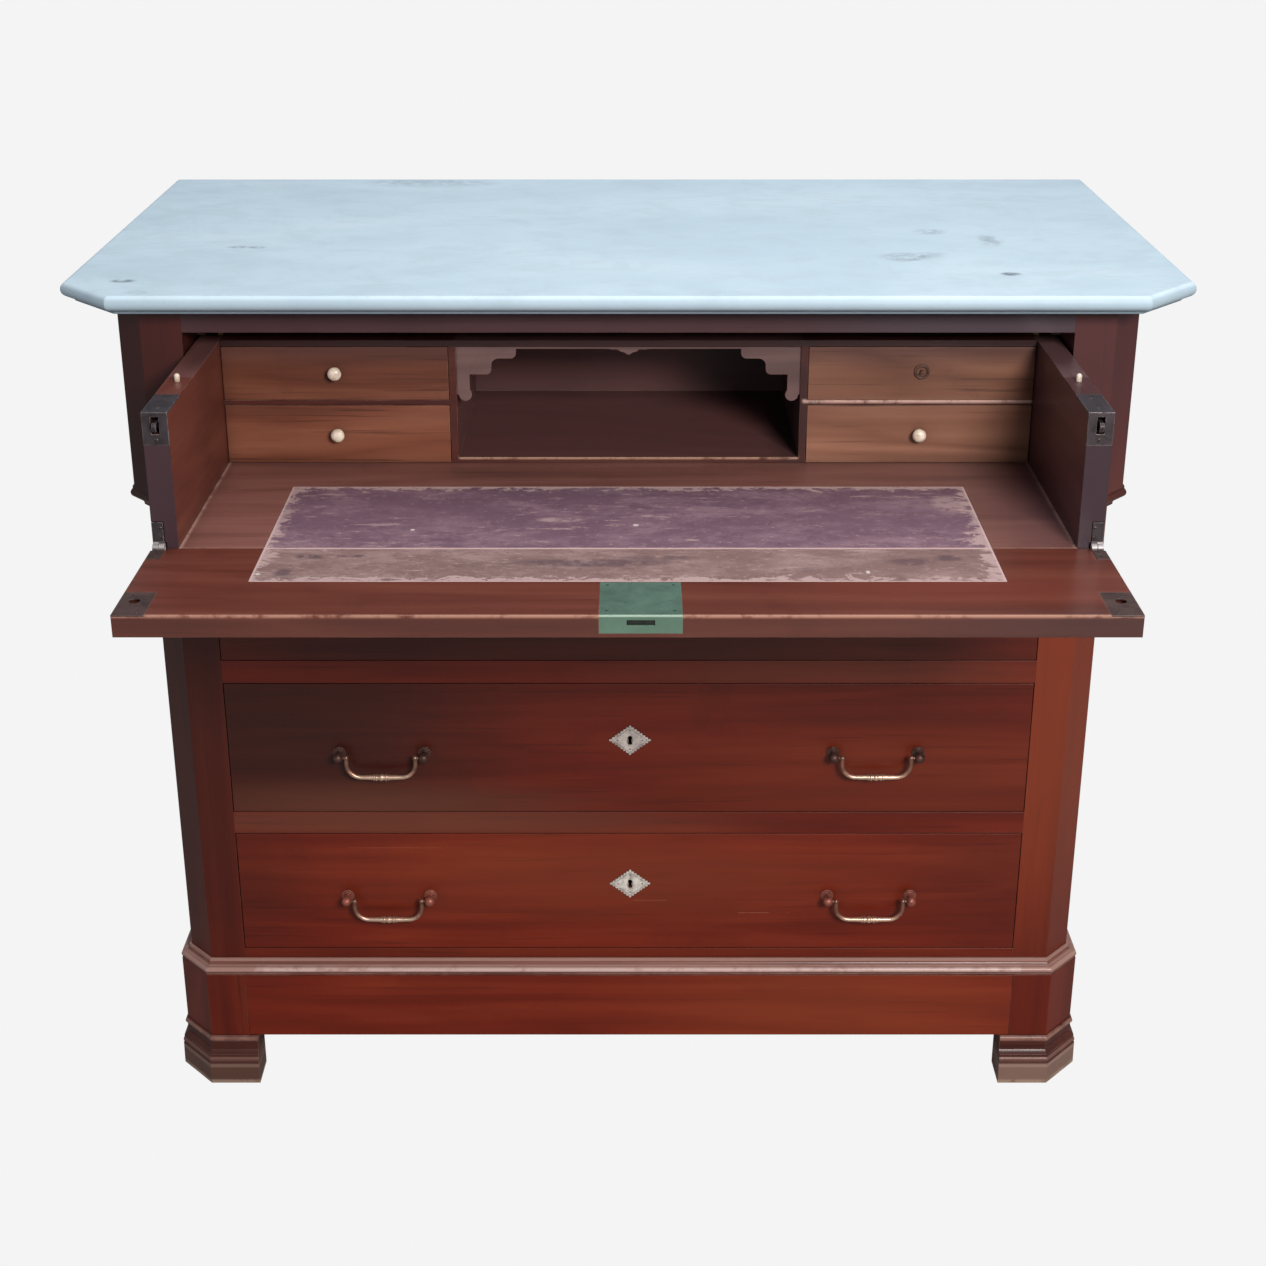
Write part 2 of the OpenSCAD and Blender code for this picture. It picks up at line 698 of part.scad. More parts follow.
// Catch plates on the front corners of the desk sides, hinge leaves with their pins, and the catch pivots
module desk_ironwork() color(iron) translate([0, shift_y, 0]) both_sides() {
    difference() {
        union() {
            block(desk_in_x, desk_x, side_front_y, side_front_y + plate_t,
                  desk_top_z - catch_plate_h, desk_top_z);
            block(desk_in_x, desk_x, side_front_y, side_front_y + catch_plate_l,
                  desk_top_z - plate_t, desk_top_z);
        }
        block(lever_x - lever_t / 2 - mortise_gap, lever_x + lever_t / 2 + mortise_gap,
              side_front_y - 1, side_front_y + plate_t + 1, mortise_z0, mortise_z1);
    }
    // Leaf and outer knuckle
    outer_x = desk_x - knuckle_l;
    translate([outer_x, desk_y, writing_z]) rotate([0, 90, 0]) cylinder(r = knuckle_r, h = knuckle_l);
    block(outer_x, desk_x, side_front_y, side_front_y + inlay, writing_z, writing_z + knuckle_r + leaf_l);
    block(outer_x - knuckle_l, desk_x, side_front_y, side_front_y + inlay,
          writing_z + knuckle_r + 1, writing_z + knuckle_r + leaf_l);
    translate([outer_x - knuckle_l, desk_y, writing_z]) rotate([0, 90, 0])
        cylinder(r = hinge_pin_r, h = knuckle_l + 1);
    // Pivot of the catch lever
    translate([lever_x - 7, side_front_y + pivot_y, pivot_z]) rotate([0, 90, 0])
        cylinder(r = hinge_pin_r, h = 14);
}

// Catch lever with a round boss on its pivot. The barb under its nose hooks behind the strike plate.
module catch_right() color(iron) translate([0, shift_y, 0]) difference() {
    union() {
        translate([lever_x + lever_t / 2, 0, 0]) rotate([0, -90, 0]) linear_extrude(lever_t) {
            tip = side_front_y - nose_reach;
            tail = side_front_y + thumb_y + 6;
            polygon([[lever_z + 1, tip], [lever_z - barb, tip + 2], [lever_z - barb, tip + 3],
                     [lever_z, tip + 3], [lever_z, tail], [lever_z + lever_h, tail],
                     [lever_z + lever_h, tip + 2], [lever_z + 3, tip]]);
        }
        translate([lever_x - lever_t / 2 - 0.5, side_front_y + pivot_y, pivot_z]) rotate([0, 90, 0])
            cylinder(r = lever_h / 2 + 1, h = lever_t + 1);
    }
    translate([lever_x - lever_t, side_front_y + pivot_y, pivot_z]) rotate([0, 90, 0])
        cylinder(r = hinge_pin_r + pin_gap, h = 2 * lever_t);
}

module catch_left() mirror([1, 0, 0]) catch_right();

// Thumb pin that presses the catch lever down, with a domed end
module thumb_pin_right() color(bone) {
    pin_z = lever_z + lever_h;
    pin_h = desk_top_z + thumb_h - pin_z;
    translate([lever_x, shift_y + side_front_y + thumb_y, pin_z]) rotate_extrude()
        intersection() {
            union() {
                square([thumb_r, pin_h - thumb_r]);
                translate([0, pin_h - thumb_r]) circle(r = thumb_r);
            }
            square([thumb_r, pin_h]);
        }
}

module thumb_pin_left() mirror([1, 0, 0]) thumb_pin_right();

// Fall front, as it lies open

module lock_case_space(gap)
    block(lock_x - 31 - gap, lock_x + 31 + gap, front_y + inlay, front_y + lock_l - 10 + gap,
          writing_z - 16 - gap, writing_z - inlay + eps);

module bolt_space(start_y, gap)
    block(lock_x - bolt_w / 2 - gap, lock_x + bolt_w / 2 + gap,
          start_y - gap, front_y + inlay + bolt_l + gap,
          writing_z - bolt_depth - bolt_t / 2 - gap, writing_z - bolt_depth + bolt_t / 2 + gap);

// Keyhole through the layer from z0 to z1: a round eye and a slot that widens downwards
module key_hole(z0, z1) {
    translate([0, 0, z0]) cylinder(r = 2.7, h = z1 - z0);
    translate([0, 0, z0]) linear_extrude(z1 - z0)
        polygon([[-1.3, 0], [-2.3, -8.5], [2.3, -8.5], [1.3, 0]]);
}

module fall_front() color(mahogany) translate([0, shift_y, 0]) difference() {
    union() {
        block(-fall_x, fall_x, front_y, desk_y - meet_gap, writing_z - fall_t, writing_z);
        block(1 - desk_in_x, desk_in_x - 1, desk_y - meet_gap - eps, desk_y + lip_l,
              writing_z - fall_t, writing_z - fall_t + lip_t);
    }
    // Bed of the leather
    block(-leather_w / 2, leather_w / 2, desk_y - meet_gap - fall_leather_l, desk_y + 1,
          writing_z - inlay, writing_z + 1);
    // Bed of the lock
    block(lock_x - lock_w / 2, lock_x + lock_w / 2, front_y - 1, front_y + lock_l,
          writing_z - inlay, writing_z + 1);
    block(lock_x - lock_w / 2, lock_x + lock_w / 2, front_y - 1, front_y + inlay,
          writing_z - lock_edge_h, writing_z + 1);
    lock_case_space(0);
    // Keyhole from the front, behind its plate
    translate([key_x, desk_y - fall_key_y, 0]) mirror([0, 1, 0])
        key_hole(writing_z - fall_t - 1, writing_z - 15);
    both_sides() {
        // Hole and bed of the strike plate
        translate([lever_x, desk_y - catch_z, writing_z - 11]) cylinder(r = strike_r + 2.6, h = 12);
        block(fall_x - 30, fall_x + 1, front_y - 1, desk_y - catch_z + 20, writing_z - inlay, writing_z + 1);
        // Room for the knuckle and bed of the hinge leaf
        knuckle_room();
        block(desk_x - 2 * knuckle_l - 1, fall_x + 1, desk_y - knuckle_r - 1 - leaf_l, desk_y + 1,
              writing_z - inlay, writing_z + 1);
    }
}

module fall_leather() color("#8a6970") translate([0, shift_y, 0])
    block(-leather_w / 2 + 0.3, leather_w / 2 - 0.3, desk_y - meet_gap - fall_leather_l + 0.3,
          desk_y - meet_gap, writing_z - inlay, writing_z - 0.1);

// Angle plate with the lock's case under it
module fall_lock() color("#506e62") translate([0, shift_y, 0]) difference() {
    union() {
        block(lock_x - lock_w / 2, lock_x + lock_w / 2, front_y, front_y + lock_l,
              writing_z - inlay, writing_z);
        block(lock_x - lock_w / 2, lock_x + lock_w / 2, front_y, front_y + inlay,
              writing_z - lock_edge_h, writing_z);
        lock_case_space(-0.2);
    }
    bolt_space(front_y - 1, bolt_gap);
    translate([key_x, desk_y - fall_key_y, 0]) cylinder(r = 5, h = writing_z - 8);
}

module fall_bolt() color(iron) translate([0, shift_y, 0]) bolt_space(front_y + inlay, 0);

// Strike plates near the front corners, and the hinge leaves with their knuckles
module fall_ironwork() color(iron) translate([0, shift_y, 0]) both_sides() {
    difference() {
        block(fall_x - 30, fall_x, front_y, desk_y - catch_z + 20, writing_z - inlay, writing_z);
        translate([lever_x, desk_y - catch_z, writing_z - 12]) cylinder(r = strike_r, h = 13);
    }
    inner_knuckle_x = desk_x - 2 * knuckle_l - 0.4;
    difference() {
        union() {
            translate([inner_knuckle_x, desk_y, writing_z]) rotate([0, 90, 0])
                cylinder(r = knuckle_r, h = knuckle_l);
            block(inner_knuckle_x, inner_knuckle_x + knuckle_l, desk_y - knuckle_r - leaf_l, desk_y,
                  writing_z - inlay, writing_z);
            block(inner_knuckle_x, fall_x, desk_y - knuckle_r - leaf_l, desk_y - knuckle_r - 1,
                  writing_z - inlay, writing_z);
        }
        translate([inner_knuckle_x - 1, desk_y, writing_z]) rotate([0, 90, 0])
            cylinder(r = hinge_pin_r + pin_gap, h = knuckle_l + 2);
    }
}

// Lozenge plate with a beaded edge, a keyhole and two nails, lying in the plane z = 0 with its face up
module key_plate() {
    bead = 1.5;
    beads = 7;
    half_w = key_plate_w / 2 - bead;
    half_h = key_plate_h / 2 - bead;
    difference() {
        union() {
            linear_extrude(key_plate_t)
                polygon([[-half_w, 0], [0, -half_h], [half_w, 0], [0, half_h]]);
            both_sides() for (i = [0:beads], up = [-1, 1])
                translate([half_w * (1 - i / beads), up * half_h * i / beads, 0])
                    cylinder(r = bead, h = key_plate_t * 0.8);
            both_sides() translate([key_plate_w / 4, 0, 0]) cylinder(r = 1.2, h = key_plate_t + 0.3);
        }
        translate([0, 3, 0]) key_hole(-1, key_plate_t + 1);
    }
}

module fall_key_plate() color("#b8b0a0")
    translate([key_x, shift_y + desk_y - fall_key_y + 3, writing_z - fall_t]) rotate([180, 0, 0]) key_plate();

// Small drawers

// One small drawer for the right side, standing on z, with its front and four thin boards
module small_drawer(z, top) color(nest_wood) translate([0, shift_y, 0]) {
    x0 = pigeon_x + nest_t + small_gap;
    x1 = desk_in_x - small_gap;
    z0 = z + run_gap;
    z1 = top - small_gap;
    back = nest_back_y - 12;
    block(x0, x1, nest_y, nest_y + small_front_t, z0, z1);
    for (x = [x0, x1 - small_t])
        block(x, x + small_t, nest_y + small_front_t, back, z0, z1 - 3);
    block(x0 + small_t, x1 - small_t, back - small_t, back, z0, z1 - 3);
    block(x0 + small_t, x1 - small_t, nest_y + small_front_t, back - small_t, z0, z0 + small_t);
}

module small_drawer_upper_right() small_drawer(small_2_z, small_top_z);
module small_drawer_upper_left() mirror([1, 0, 0]) small_drawer(small_2_z, small_top_z);
module small_drawer_lower_right() small_drawer(writing_z, writing_z + small_h);
module small_drawer_lower_left() mirror([1, 0, 0]) small_drawer(writing_z, writing_z + small_h);

// Turned knob: a foot, a waist and a rounded head
module knob(x, z) color(bone) translate([x, shift_y + nest_y, z]) rotate([90, 0, 0])
    rotate_extrude()
        intersection() {
            union() {
                square([5, 2]);
                square([3, knob_l - knob_r]);
                translate([0, knob_l - 5]) scale([knob_r / 5, 1]) circle(r = 5);
            }
            square([knob_r, knob_l]);
        }

knob_x = (pigeon_x + nest_t + desk_in_x) / 2;
knob_upper_z = (small_2_z + small_top_z) / 2 + 2;
knob_lower_z = writing_z + small_h / 2 + 1;

module knob_upper_left() knob(-knob_x, knob_upper_z);
module knob_lower_left() knob(-knob_x, knob_lower_z);
module knob_lower_right() knob(knob_x, knob_lower_z);

// The knob of the upper right drawer is lost: its foot ring and the stump of its screw are left
module knob_stub_upper_right() color("#3a2a22")
    translate([knob_x, shift_y + nest_y, knob_upper_z]) rotate([90, 0, 0]) {
        cylinder(r = 2, h = 5);
        rotate_extrude() translate([7, 0]) intersection() {
            circle(r = 1.6);
            translate([-2, 0]) square([4, 2]);
        }
    }

// Long drawers

module long_front(i) color(mahogany) translate([0, shift_y, 0]) difference() {
    x = open_x - front_gap;
    top = drawer_z[i] + drawer_h[i] - front_gap;
    mid = drawer_z[i] + drawer_h[i] / 2 + key_rise;
    block(-x, x, 0, front_t, drawer_z[i] + front_gap, top);
    // Mortise of the lock bolt and keyhole
    block(key_x - bolt_w / 2 - bolt_gap, key_x + bolt_w / 2 + bolt_gap,
          (front_t - bolt_t) / 2 - bolt_gap, (front_t + bolt_t) / 2 + bolt_gap,
          top - mortise_depth - bolt_gap, top + 1);
    translate([key_x, front_t, mid]) rotate([90, 0, 0]) key_hole(-1, front_t + 1);
}

// Sides, back and bottom behind the front, with the lock's case against the front
module long_box(i) color(lining_wood) translate([0, shift_y, 0]) {
    x = open_x - front_gap;
    z0 = drawer_z[i] + run_gap;
    z1 = drawer_z[i] + drawer_h[i] - side_drop;
    back = back_y - back_gap;
    lock_z = drawer_z[i] + drawer_h[i] / 2 + key_rise;
    both_sides() block(x - lining_t, x, front_t, back, z0, z1);
    block(lining_t - x, x - lining_t, back - lining_t, back, z0, z1);
    block(lining_t - x, x - lining_t, front_t, back - lining_t, z0 + 2, z0 + 2 + bottom_t);
    block(key_x - 30, key_x + 30, front_t, front_t + 7, lock_z - 22, lock_z + 26);
}

module long_key_plate(i) color("#b8b0a0")
    translate([key_x, shift_y, drawer_z[i] + drawer_h[i] / 2 + key_rise - 3]) rotate([90, 0, 0]) key_plate();

module lock_bolt(i) color(iron) translate([0, shift_y, 0]) {
    top = drawer_z[i] + drawer_h[i] - front_gap;
    block(key_x - bolt_w / 2, key_x + bolt_w / 2, (front_t - bolt_t) / 2, (front_t + bolt_t) / 2,
          top - mortise_depth, top);
}

// One post: a rosette, a turned neck, and a ball head that is bored for the handle's pivot
module pull_post(side) {
    head_x = side * post_gap / 2;
    difference() {
        union() {
            translate([head_x, 0, 0]) rotate([90, 0, 0]) rotate_extrude() {
                square([7.5, 1.6]);
                square([5.4, 3]);
                square([3.2, post_l]);
            }
            translate([head_x, -post_l, 0]) sphere(r = post_head_r);
        }
        translate([head_x - side * (post_head_r + 1), -post_l, 0]) rotate([0, side * 90, 0])
            cylinder(r = bail_pin_r + pin_gap, h = post_head_r + 4);
    }
}

module pull_posts(i) color(brass)
    for (x = [-pull_x, pull_x])
        translate([x, shift_y, drawer_z[i] + drawer_h[i] / 2 + post_rise]) {
            pull_post(-1);
            pull_post(1);
        }

// One half of a drop handle: a pivot with a ball, a straight arm, a wide bend and a bar that swells inwards
module bail_half() {
    ball_x = post_gap / 2 - post_head_r - bail_ball_r - run_gap;
    bar_x = ball_x - bend_r;
    translate([ball_x, 0, 0]) {
        translate([0.7 * bail_ball_r, 0, 0]) rotate([0, 90, 0])
            cylinder(r = bail_pin_r, h = 0.3 * bail_ball_r + run_gap + post_head_r + 2);
        sphere(r = bail_ball_r);
        translate([0, 0, bend_r - bail_drop])
            cylinder(r = bail_r, h = bail_drop - bend_r - 0.4 * bail_ball_r);
    }
    translate([bar_x, 0, bend_r - bail_drop]) rotate([90, 0, 0])
        rotate_extrude(angle = 90, start = 270) translate([bend_r, 0]) circle(r = bail_r);
    // The bar, with two collars beside the bead
    collar_x = [4.8, 7.8];
    collar_w = [1.6, 1.3];
    translate([0, 0, -bail_drop]) rotate([0, 90, 0]) {
        cylinder(r1 = bead_r - 0.8, r2 = bail_r, h = bar_x);
        translate([0, 0, collar_x[0]]) cylinder(r = bead_r, h = collar_w[0]);
        translate([0, 0, collar_x[1]]) cylinder(r = bead_r - 0.4, h = collar_w[1]);
    }
}

module bail(i, side) color(brass)
    translate([side * pull_x, shift_y - post_l, drawer_z[i] + drawer_h[i] / 2 + post_rise]) {
        both_sides() bail_half();
        translate([0, 0, -bail_drop]) rotate([0, 90, 0]) sphere(r = bead_r);
    }

module long_front_1() long_front(0);
module long_front_2() long_front(1);
module long_front_3() long_front(2);
module long_box_1() long_box(0);
module long_box_2() long_box(1);
module long_box_3() long_box(2);
module key_plate_1() long_key_plate(0);
module key_plate_2() long_key_plate(1);
module key_plate_3() long_key_plate(2);
module pull_posts_1() pull_posts(0);
module pull_posts_2() pull_posts(1);
module pull_posts_3() pull_posts(2);
module bail_1_left() bail(0, -1);
module bail_1_right() bail(0, 1);
module bail_2_left() bail(1, -1);
module bail_2_right() bail(1, 1);
module bail_3_left() bail(2, -1);
module bail_3_right() bail(2, 1);
module lock_bolt_1() lock_bolt(0);
module lock_bolt_2() lock_bolt(1);
module lock_bolt_3() lock_bolt(2);

// Hidden drawer in the plinth: its front, sides, back and bottom
module plinth_drawer() color(mahogany) translate([0, shift_y, 0]) {
    x = open_x - run_gap;
    z0 = plinth_z + plinth_runner_t + run_gap;
    z1 = base_z - side_drop;
    front_back = front_t - plinth_step;
    back = back_y - back_gap;
    block(-x, x, -plinth_step, front_back, plinth_z + 0.5, base_z - 0.5);
    both_sides() block(x - lining_t, x, front_back, back, z0, z1);
    block(lining_t - x, x - lining_t, back - lining_t, back, z0, z1);
    block(lining_t - x, x - lining_t, front_back, back - lining_t, z0 + 2, z0 + 2 + bottom_t);
}

marble_top();
top_frame();
side_panel_left();
side_panel_right();
stiles();
back_panel();
drawer_rails();
drawer_runners();
waist_moulding();
base_moulding();
plinth_frame();
feet();
desk_side_left();
desk_side_right();
desk_board();
desk_leather();
nest_case();
valance();
desk_ironwork();
catch_left();
catch_right();
thumb_pin_left();
thumb_pin_right();
fall_front();
fall_leather();
fall_lock();
fall_bolt();
fall_ironwork();
fall_key_plate();
small_drawer_upper_left();
small_drawer_upper_right();
small_drawer_lower_left();
small_drawer_lower_right();
knob_upper_left();
knob_stub_upper_right();
knob_lower_left();
knob_lower_right();
long_front_1();
long_box_1();
key_plate_1();
pull_posts_1();
bail_1_left();
bail_1_right();
lock_bolt_1();
long_front_2();
long_box_2();
key_plate_2();
pull_posts_2();
bail_2_left();
bail_2_right();
lock_bolt_2();
long_front_3();
long_box_3();
key_plate_3();
pull_posts_3();
bail_3_left();
bail_3_right();
lock_bolt_3();
plinth_drawer();
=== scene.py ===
import math

import bmesh
import bpy
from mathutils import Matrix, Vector


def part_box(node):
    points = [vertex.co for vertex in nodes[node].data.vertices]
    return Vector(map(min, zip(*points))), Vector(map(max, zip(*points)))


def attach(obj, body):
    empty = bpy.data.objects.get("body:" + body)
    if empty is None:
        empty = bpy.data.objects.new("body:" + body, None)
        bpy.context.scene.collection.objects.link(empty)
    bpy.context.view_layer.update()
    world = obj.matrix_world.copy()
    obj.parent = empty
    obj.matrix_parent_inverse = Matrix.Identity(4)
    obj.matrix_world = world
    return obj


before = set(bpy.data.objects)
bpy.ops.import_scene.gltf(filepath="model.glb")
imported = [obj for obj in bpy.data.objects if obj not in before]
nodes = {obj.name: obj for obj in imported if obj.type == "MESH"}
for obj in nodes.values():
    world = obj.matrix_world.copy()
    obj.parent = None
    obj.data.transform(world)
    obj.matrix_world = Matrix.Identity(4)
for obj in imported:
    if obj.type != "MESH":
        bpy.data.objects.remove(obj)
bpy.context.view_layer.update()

AXES = {"x": 0, "y": 1, "z": 2}


# Node graphs


# How many rays the bevel and corner nodes send out
SAMPLES = 6


class Graph:
    """Builds one procedural material. A value may be a number, a colour or another node's output."""

    def __init__(self, name):
        self.mat = bpy.data.materials.new(name)
        self.mat.use_nodes = True
        self.tree = self.mat.node_tree
        self.tree.nodes.clear()
        self.pos = self.add("ShaderNodeTexCoord").outputs["Object"]
        split = self.add("ShaderNodeSeparateXYZ")
        self.link(self.pos, split.inputs[0])
        self.xyz = split.outputs
        self.bevels = {}

    def add(self, kind, **settings):
        """A new shader node with the given settings."""
        node = self.tree.nodes.new(kind)
        for key, value in settings.items():
            setattr(node, key, value)
        return node

    def link(self, source, socket):
        """Wires an output to a socket, or sets the socket's value. None leaves it alone."""
        if isinstance(source, bpy.types.NodeSocket):
            self.tree.links.new(source, socket)
        elif source is not None:
            if socket.type == "RGBA" and len(source) == 3:
                source = (*source, 1.0)
            socket.default_value = source

    def math(self, op, a, b=None, clamp=False):
        """One operation on one or two values, held between 0 and 1 if clamped."""
        node = self.add("ShaderNodeMath", operation=op, use_clamp=clamp)
        for source, socket in zip((a, b), node.inputs):
            self.link(source, socket)
        return node.outputs[0]

    def mul(self, a, b):
        return self.math("MULTIPLY", a, b)

    def plus(self, a, b):
        return self.math("ADD", a, b)

    def minus(self, a, b):
        return self.math("SUBTRACT", a, b)

    def least(self, a, b):
        return self.math("MINIMUM", a, b)

    def step(self, value, low, high, to_low=0.0, to_high=1.0):
        """Maps value smoothly from low..high to to_low..to_high."""
        node = self.add("ShaderNodeMapRange", interpolation_type="SMOOTHSTEP")
        for source, name in ((value, "Value"), (low, "From Min"), (high, "From Max"),
                             (to_low, "To Min"), (to_high, "To Max")):
            self.link(source, node.inputs[name])
        return node.outputs[0]

    def mix(self, fac, a, b):
        """Colour a turning into colour b as the factor goes from 0 to 1."""
        node = self.add("ShaderNodeMix", data_type="RGBA")
        self.link(fac, node.inputs["Factor"])
        self.link(a, node.inputs[6])
        self.link(b, node.inputs[7])
        return node.outputs[2]

    def ramp(self, fac, stops):
        """A colour ramp through (place, colour) stops."""
        node = self.add("ShaderNodeValToRGB")
        elements = node.color_ramp.elements
        halfway = 0.5
        while len(elements) < len(stops):
            elements.new(halfway)
        for element, (place, colour) in zip(elements, stops):
            element.position = place
            element.color = (*colour, 1.0)
        self.link(fac, node.inputs[0])
        return node.outputs[0]

    def move(self, shift=(0, 0, 0), scale=(1, 1, 1), turn=(0, 0, 0)):
        """The object's coordinates, scaled, turned and shifted."""
        node = self.add("ShaderNodeMapping")
        self.link(self.pos, node.inputs["Vector"])
        node.inputs["Location"].default_value = shift
        node.inputs["Scale"].default_value = scale
        node.inputs["Rotation"].default_value = turn
        return node.outputs[0]

    def noise(self, vector, scale, detail=3.0, rough=0.55, distortion=0.0):
        """Cloudy noise from 0 to 1, about 0.5."""
        node = self.add("ShaderNodeTexNoise")
        for source, name in ((vector, "Vector"), (scale, "Scale"), (detail, "Detail"),
                             (rough, "Roughness"), (distortion, "Distortion")):
            self.link(source, node.inputs[name])
        return node.outputs[0]

    def cells(self, vector, scale, random_amount=1.0):
        """The distance to the nearest of many scattered points."""
        node = self.add("ShaderNodeTexVoronoi", feature="F1")
        self.link(vector, node.inputs["Vector"])
        self.link(scale, node.inputs["Scale"])
        self.link(random_amount, node.inputs["Randomness"])
        return node.outputs["Distance"]

    def bevel(self, radius):
        """The normal with its edges rounded, made once for each radius."""
        if radius not in self.bevels:
            node = self.add("ShaderNodeBevel", samples=SAMPLES)
            node.inputs["Radius"].default_value = radius
            self.bevels[radius] = node.outputs[0]
        return self.bevels[radius]

    def edges(self, radius):
        """1 on an outer or inner arris, 0 on the flat."""
        flat, sharp = 0.995, 0.80
        dot = self.add("ShaderNodeVectorMath", operation="DOT_PRODUCT")
        self.link(self.bevel(radius), dot.inputs[0])
        self.link(self.add("ShaderNodeNewGeometry").outputs["Normal"], dot.inputs[1])
        return self.step(dot.outputs["Value"], flat, sharp)

    def crevice(self, distance, power):
        """1 deep in a corner, 0 in the open. A higher power keeps it closer to the corner."""
        node = self.add("ShaderNodeAmbientOcclusion", samples=SAMPLES)
        node.inputs["Distance"].default_value = distance
        closed = self.math("SUBTRACT", 1.0, node.outputs["AO"], clamp=True)
        return self.math("POWER", closed, power)

    def within(self, axis, low, high, soft):
        """1 between low and high along an axis, in metres, with soft ends."""
        value = self.xyz[AXES[axis]]
        rise = self.step(value, low - soft, low + soft)
        fall = self.step(value, high + soft, high - soft)
        return self.mul(rise, fall)

    def region(self, x=None, y=None, z=None, soft=0.002):
        """1 inside a box given by its spans. An axis without a span isn't bounded."""
        mask = None
        for axis, span in (("x", x), ("y", y), ("z", z)):
            if span:
                part = self.within(axis, span[0], span[1], soft)
                mask = part if mask is None else self.mul(mask, part)
        return mask

    def dot(self, spot, radius, stretch, soft):
        """1 inside a round or stretched patch about a spot, in metres. Soft is a share of the radius."""
        scale = [1 / (radius * s) for s in stretch]
        shift = [-c * k for c, k in zip(spot, scale)]
        node = self.add("ShaderNodeVectorMath", operation="LENGTH")
        self.link(self.move(shift, scale), node.inputs[0])
        return self.step(node.outputs["Value"], 1.0 + soft, 1.0 - soft)

    def bump(self, height, strength, distance, normal=None):
        """A normal roughened by a height."""
        node = self.add("ShaderNodeBump")
        node.inputs["Strength"].default_value = strength
        node.inputs["Distance"].default_value = distance
        self.link(height, node.inputs["Height"])
        if normal is not None:
            self.link(normal, node.inputs["Normal"])
        return node.outputs[0]

    def finish(self, colour, rough, normal, **constants):
        """Wires up the surface and returns the material."""
        shader = self.add("ShaderNodeBsdfPrincipled")
        self.link(colour, shader.inputs["Base Color"])
        self.link(rough, shader.inputs["Roughness"])
        self.link(normal, shader.inputs["Normal"])
        for name, value in constants.items():
            socket = shader.inputs[name.replace("_", " ")]
            self.link(value, socket)
        out = self.add("ShaderNodeOutputMaterial")
        self.tree.links.new(shader.outputs[0], out.inputs[0])
        return self.mat


def shade(colour, share):
    """The colour made darker or lighter."""
    return tuple(c * share for c in colour)


# Materials


def drawn_out(along, across, down):
    """Texture scales across the grain and down it."""
    scales = [across] * 3
    scales[AXES[along]] = down
    return scales


# Grime and painted shade in corners: how far it reaches in metres, its most, and its darkness
GRIME_AND_SHADE_REACH = 0.018
GRIME_AND_SHADE_MOST = 0.92
GRIME_AND_SHADE_TONE = 0.16


def wood(name, dark, mid, light, along="x", seed=0.0, rough=0.34, worn=0.5, worn_colour=(0.30, 0.13, 0.08),
         figure=1.0, pore=0.35, extra=None, edge=0.0012, grime_and_shade_amount=0.8, contrast=0.50):
    """Polished or plain wood whose grain runs along one axis."""
    g = Graph(name)
    base = g.move((seed * 1.7, seed * 2.3, seed * 0.9), drawn_out(along, across=9.0, down=0.9))
    wander = g.noise(base, 0.9, 2.0, 0.5, 0.6)
    waver = g.mul(g.noise(base, 2.4, 3.0), 0.25)
    rings = 7.0 * figure
    bands = g.math("PINGPONG", g.mul(g.plus(wander, waver), rings), 0.5)
    streaks = g.move((seed, 0, 0), drawn_out(along, across=260.0, down=5.0))
    fine = g.noise(streaks, 1.0, 3.0, 0.6)
    broad = g.noise(g.move((seed * 3, seed, 0), (1, 1, 1)), 3.1, 4.0, 0.6, 0.4)
    silk = g.move((0, seed, seed), drawn_out(along, across=40.0, down=1.6))
    ribbon = g.mul(g.minus(g.noise(silk, 1.0, 3.0, 0.65, 0.8), 0.5), 0.55)
    middle_tone = 0.42
    lift = middle_tone - 0.25 * contrast
    tone = g.plus(g.plus(g.mul(bands, contrast), lift), ribbon)
    colour = g.ramp(tone, [(0.0, dark), (middle_tone, mid), (0.95, light)])
    colour = g.mix(g.step(broad, 0.40, 0.80, 0.0, 0.38), colour, dark)
    smudge = g.noise(g.move((seed, 0.3, seed * 2)), 9.0, 6.0, 0.7, 0.5)
    colour = g.mix(g.step(smudge, 0.54, 0.74, 0.0, 0.30), colour, shade(dark, 0.7))
    pores = g.step(fine, 0.57, 0.72)
    colour = g.mix(g.mul(pores, pore), colour, shade(dark, 0.35))
    arris = g.edges(edge)
    patchy = g.step(g.noise(g.pos, 26.0, 4.0, 0.7), 0.38, 0.62)
    rubbed = g.mul(g.mul(arris, patchy), worn)
    colour = g.mix(rubbed, colour, worn_colour)
    # Darker in corners: grime and painted shade
    grime_and_shade = g.mul(g.crevice(GRIME_AND_SHADE_REACH, 1.4), grime_and_shade_amount)
    colour = g.mix(g.least(grime_and_shade, GRIME_AND_SHADE_MOST), colour, shade(dark, GRIME_AND_SHADE_TONE))
    scuff_scale = (90, 90, 14) if along == "z" else (14, 14, 90)
    scuff = g.step(g.noise(g.move((seed, seed, 0), scuff_scale), 1.0, 5.0, 0.75), 0.60, 0.78)
    dull = g.plus(g.mul(scuff, 0.14), g.mul(rubbed, 0.25))
    shine = g.plus(g.plus(rough, g.mul(broad, 0.12)), dull)
    if extra:
        colour, shine = extra(g, colour, shine)
    height = g.plus(g.mul(pores, -0.5), g.plus(g.mul(broad, 0.9), g.mul(scuff, -0.2)))
    normal = g.bump(height, 0.22, 0.0006, g.bevel(edge))
    return g.finish(colour, shine, normal, Specular_IOR_Level=0.30, Coat_Weight=0.08, Coat_Roughness=0.14)


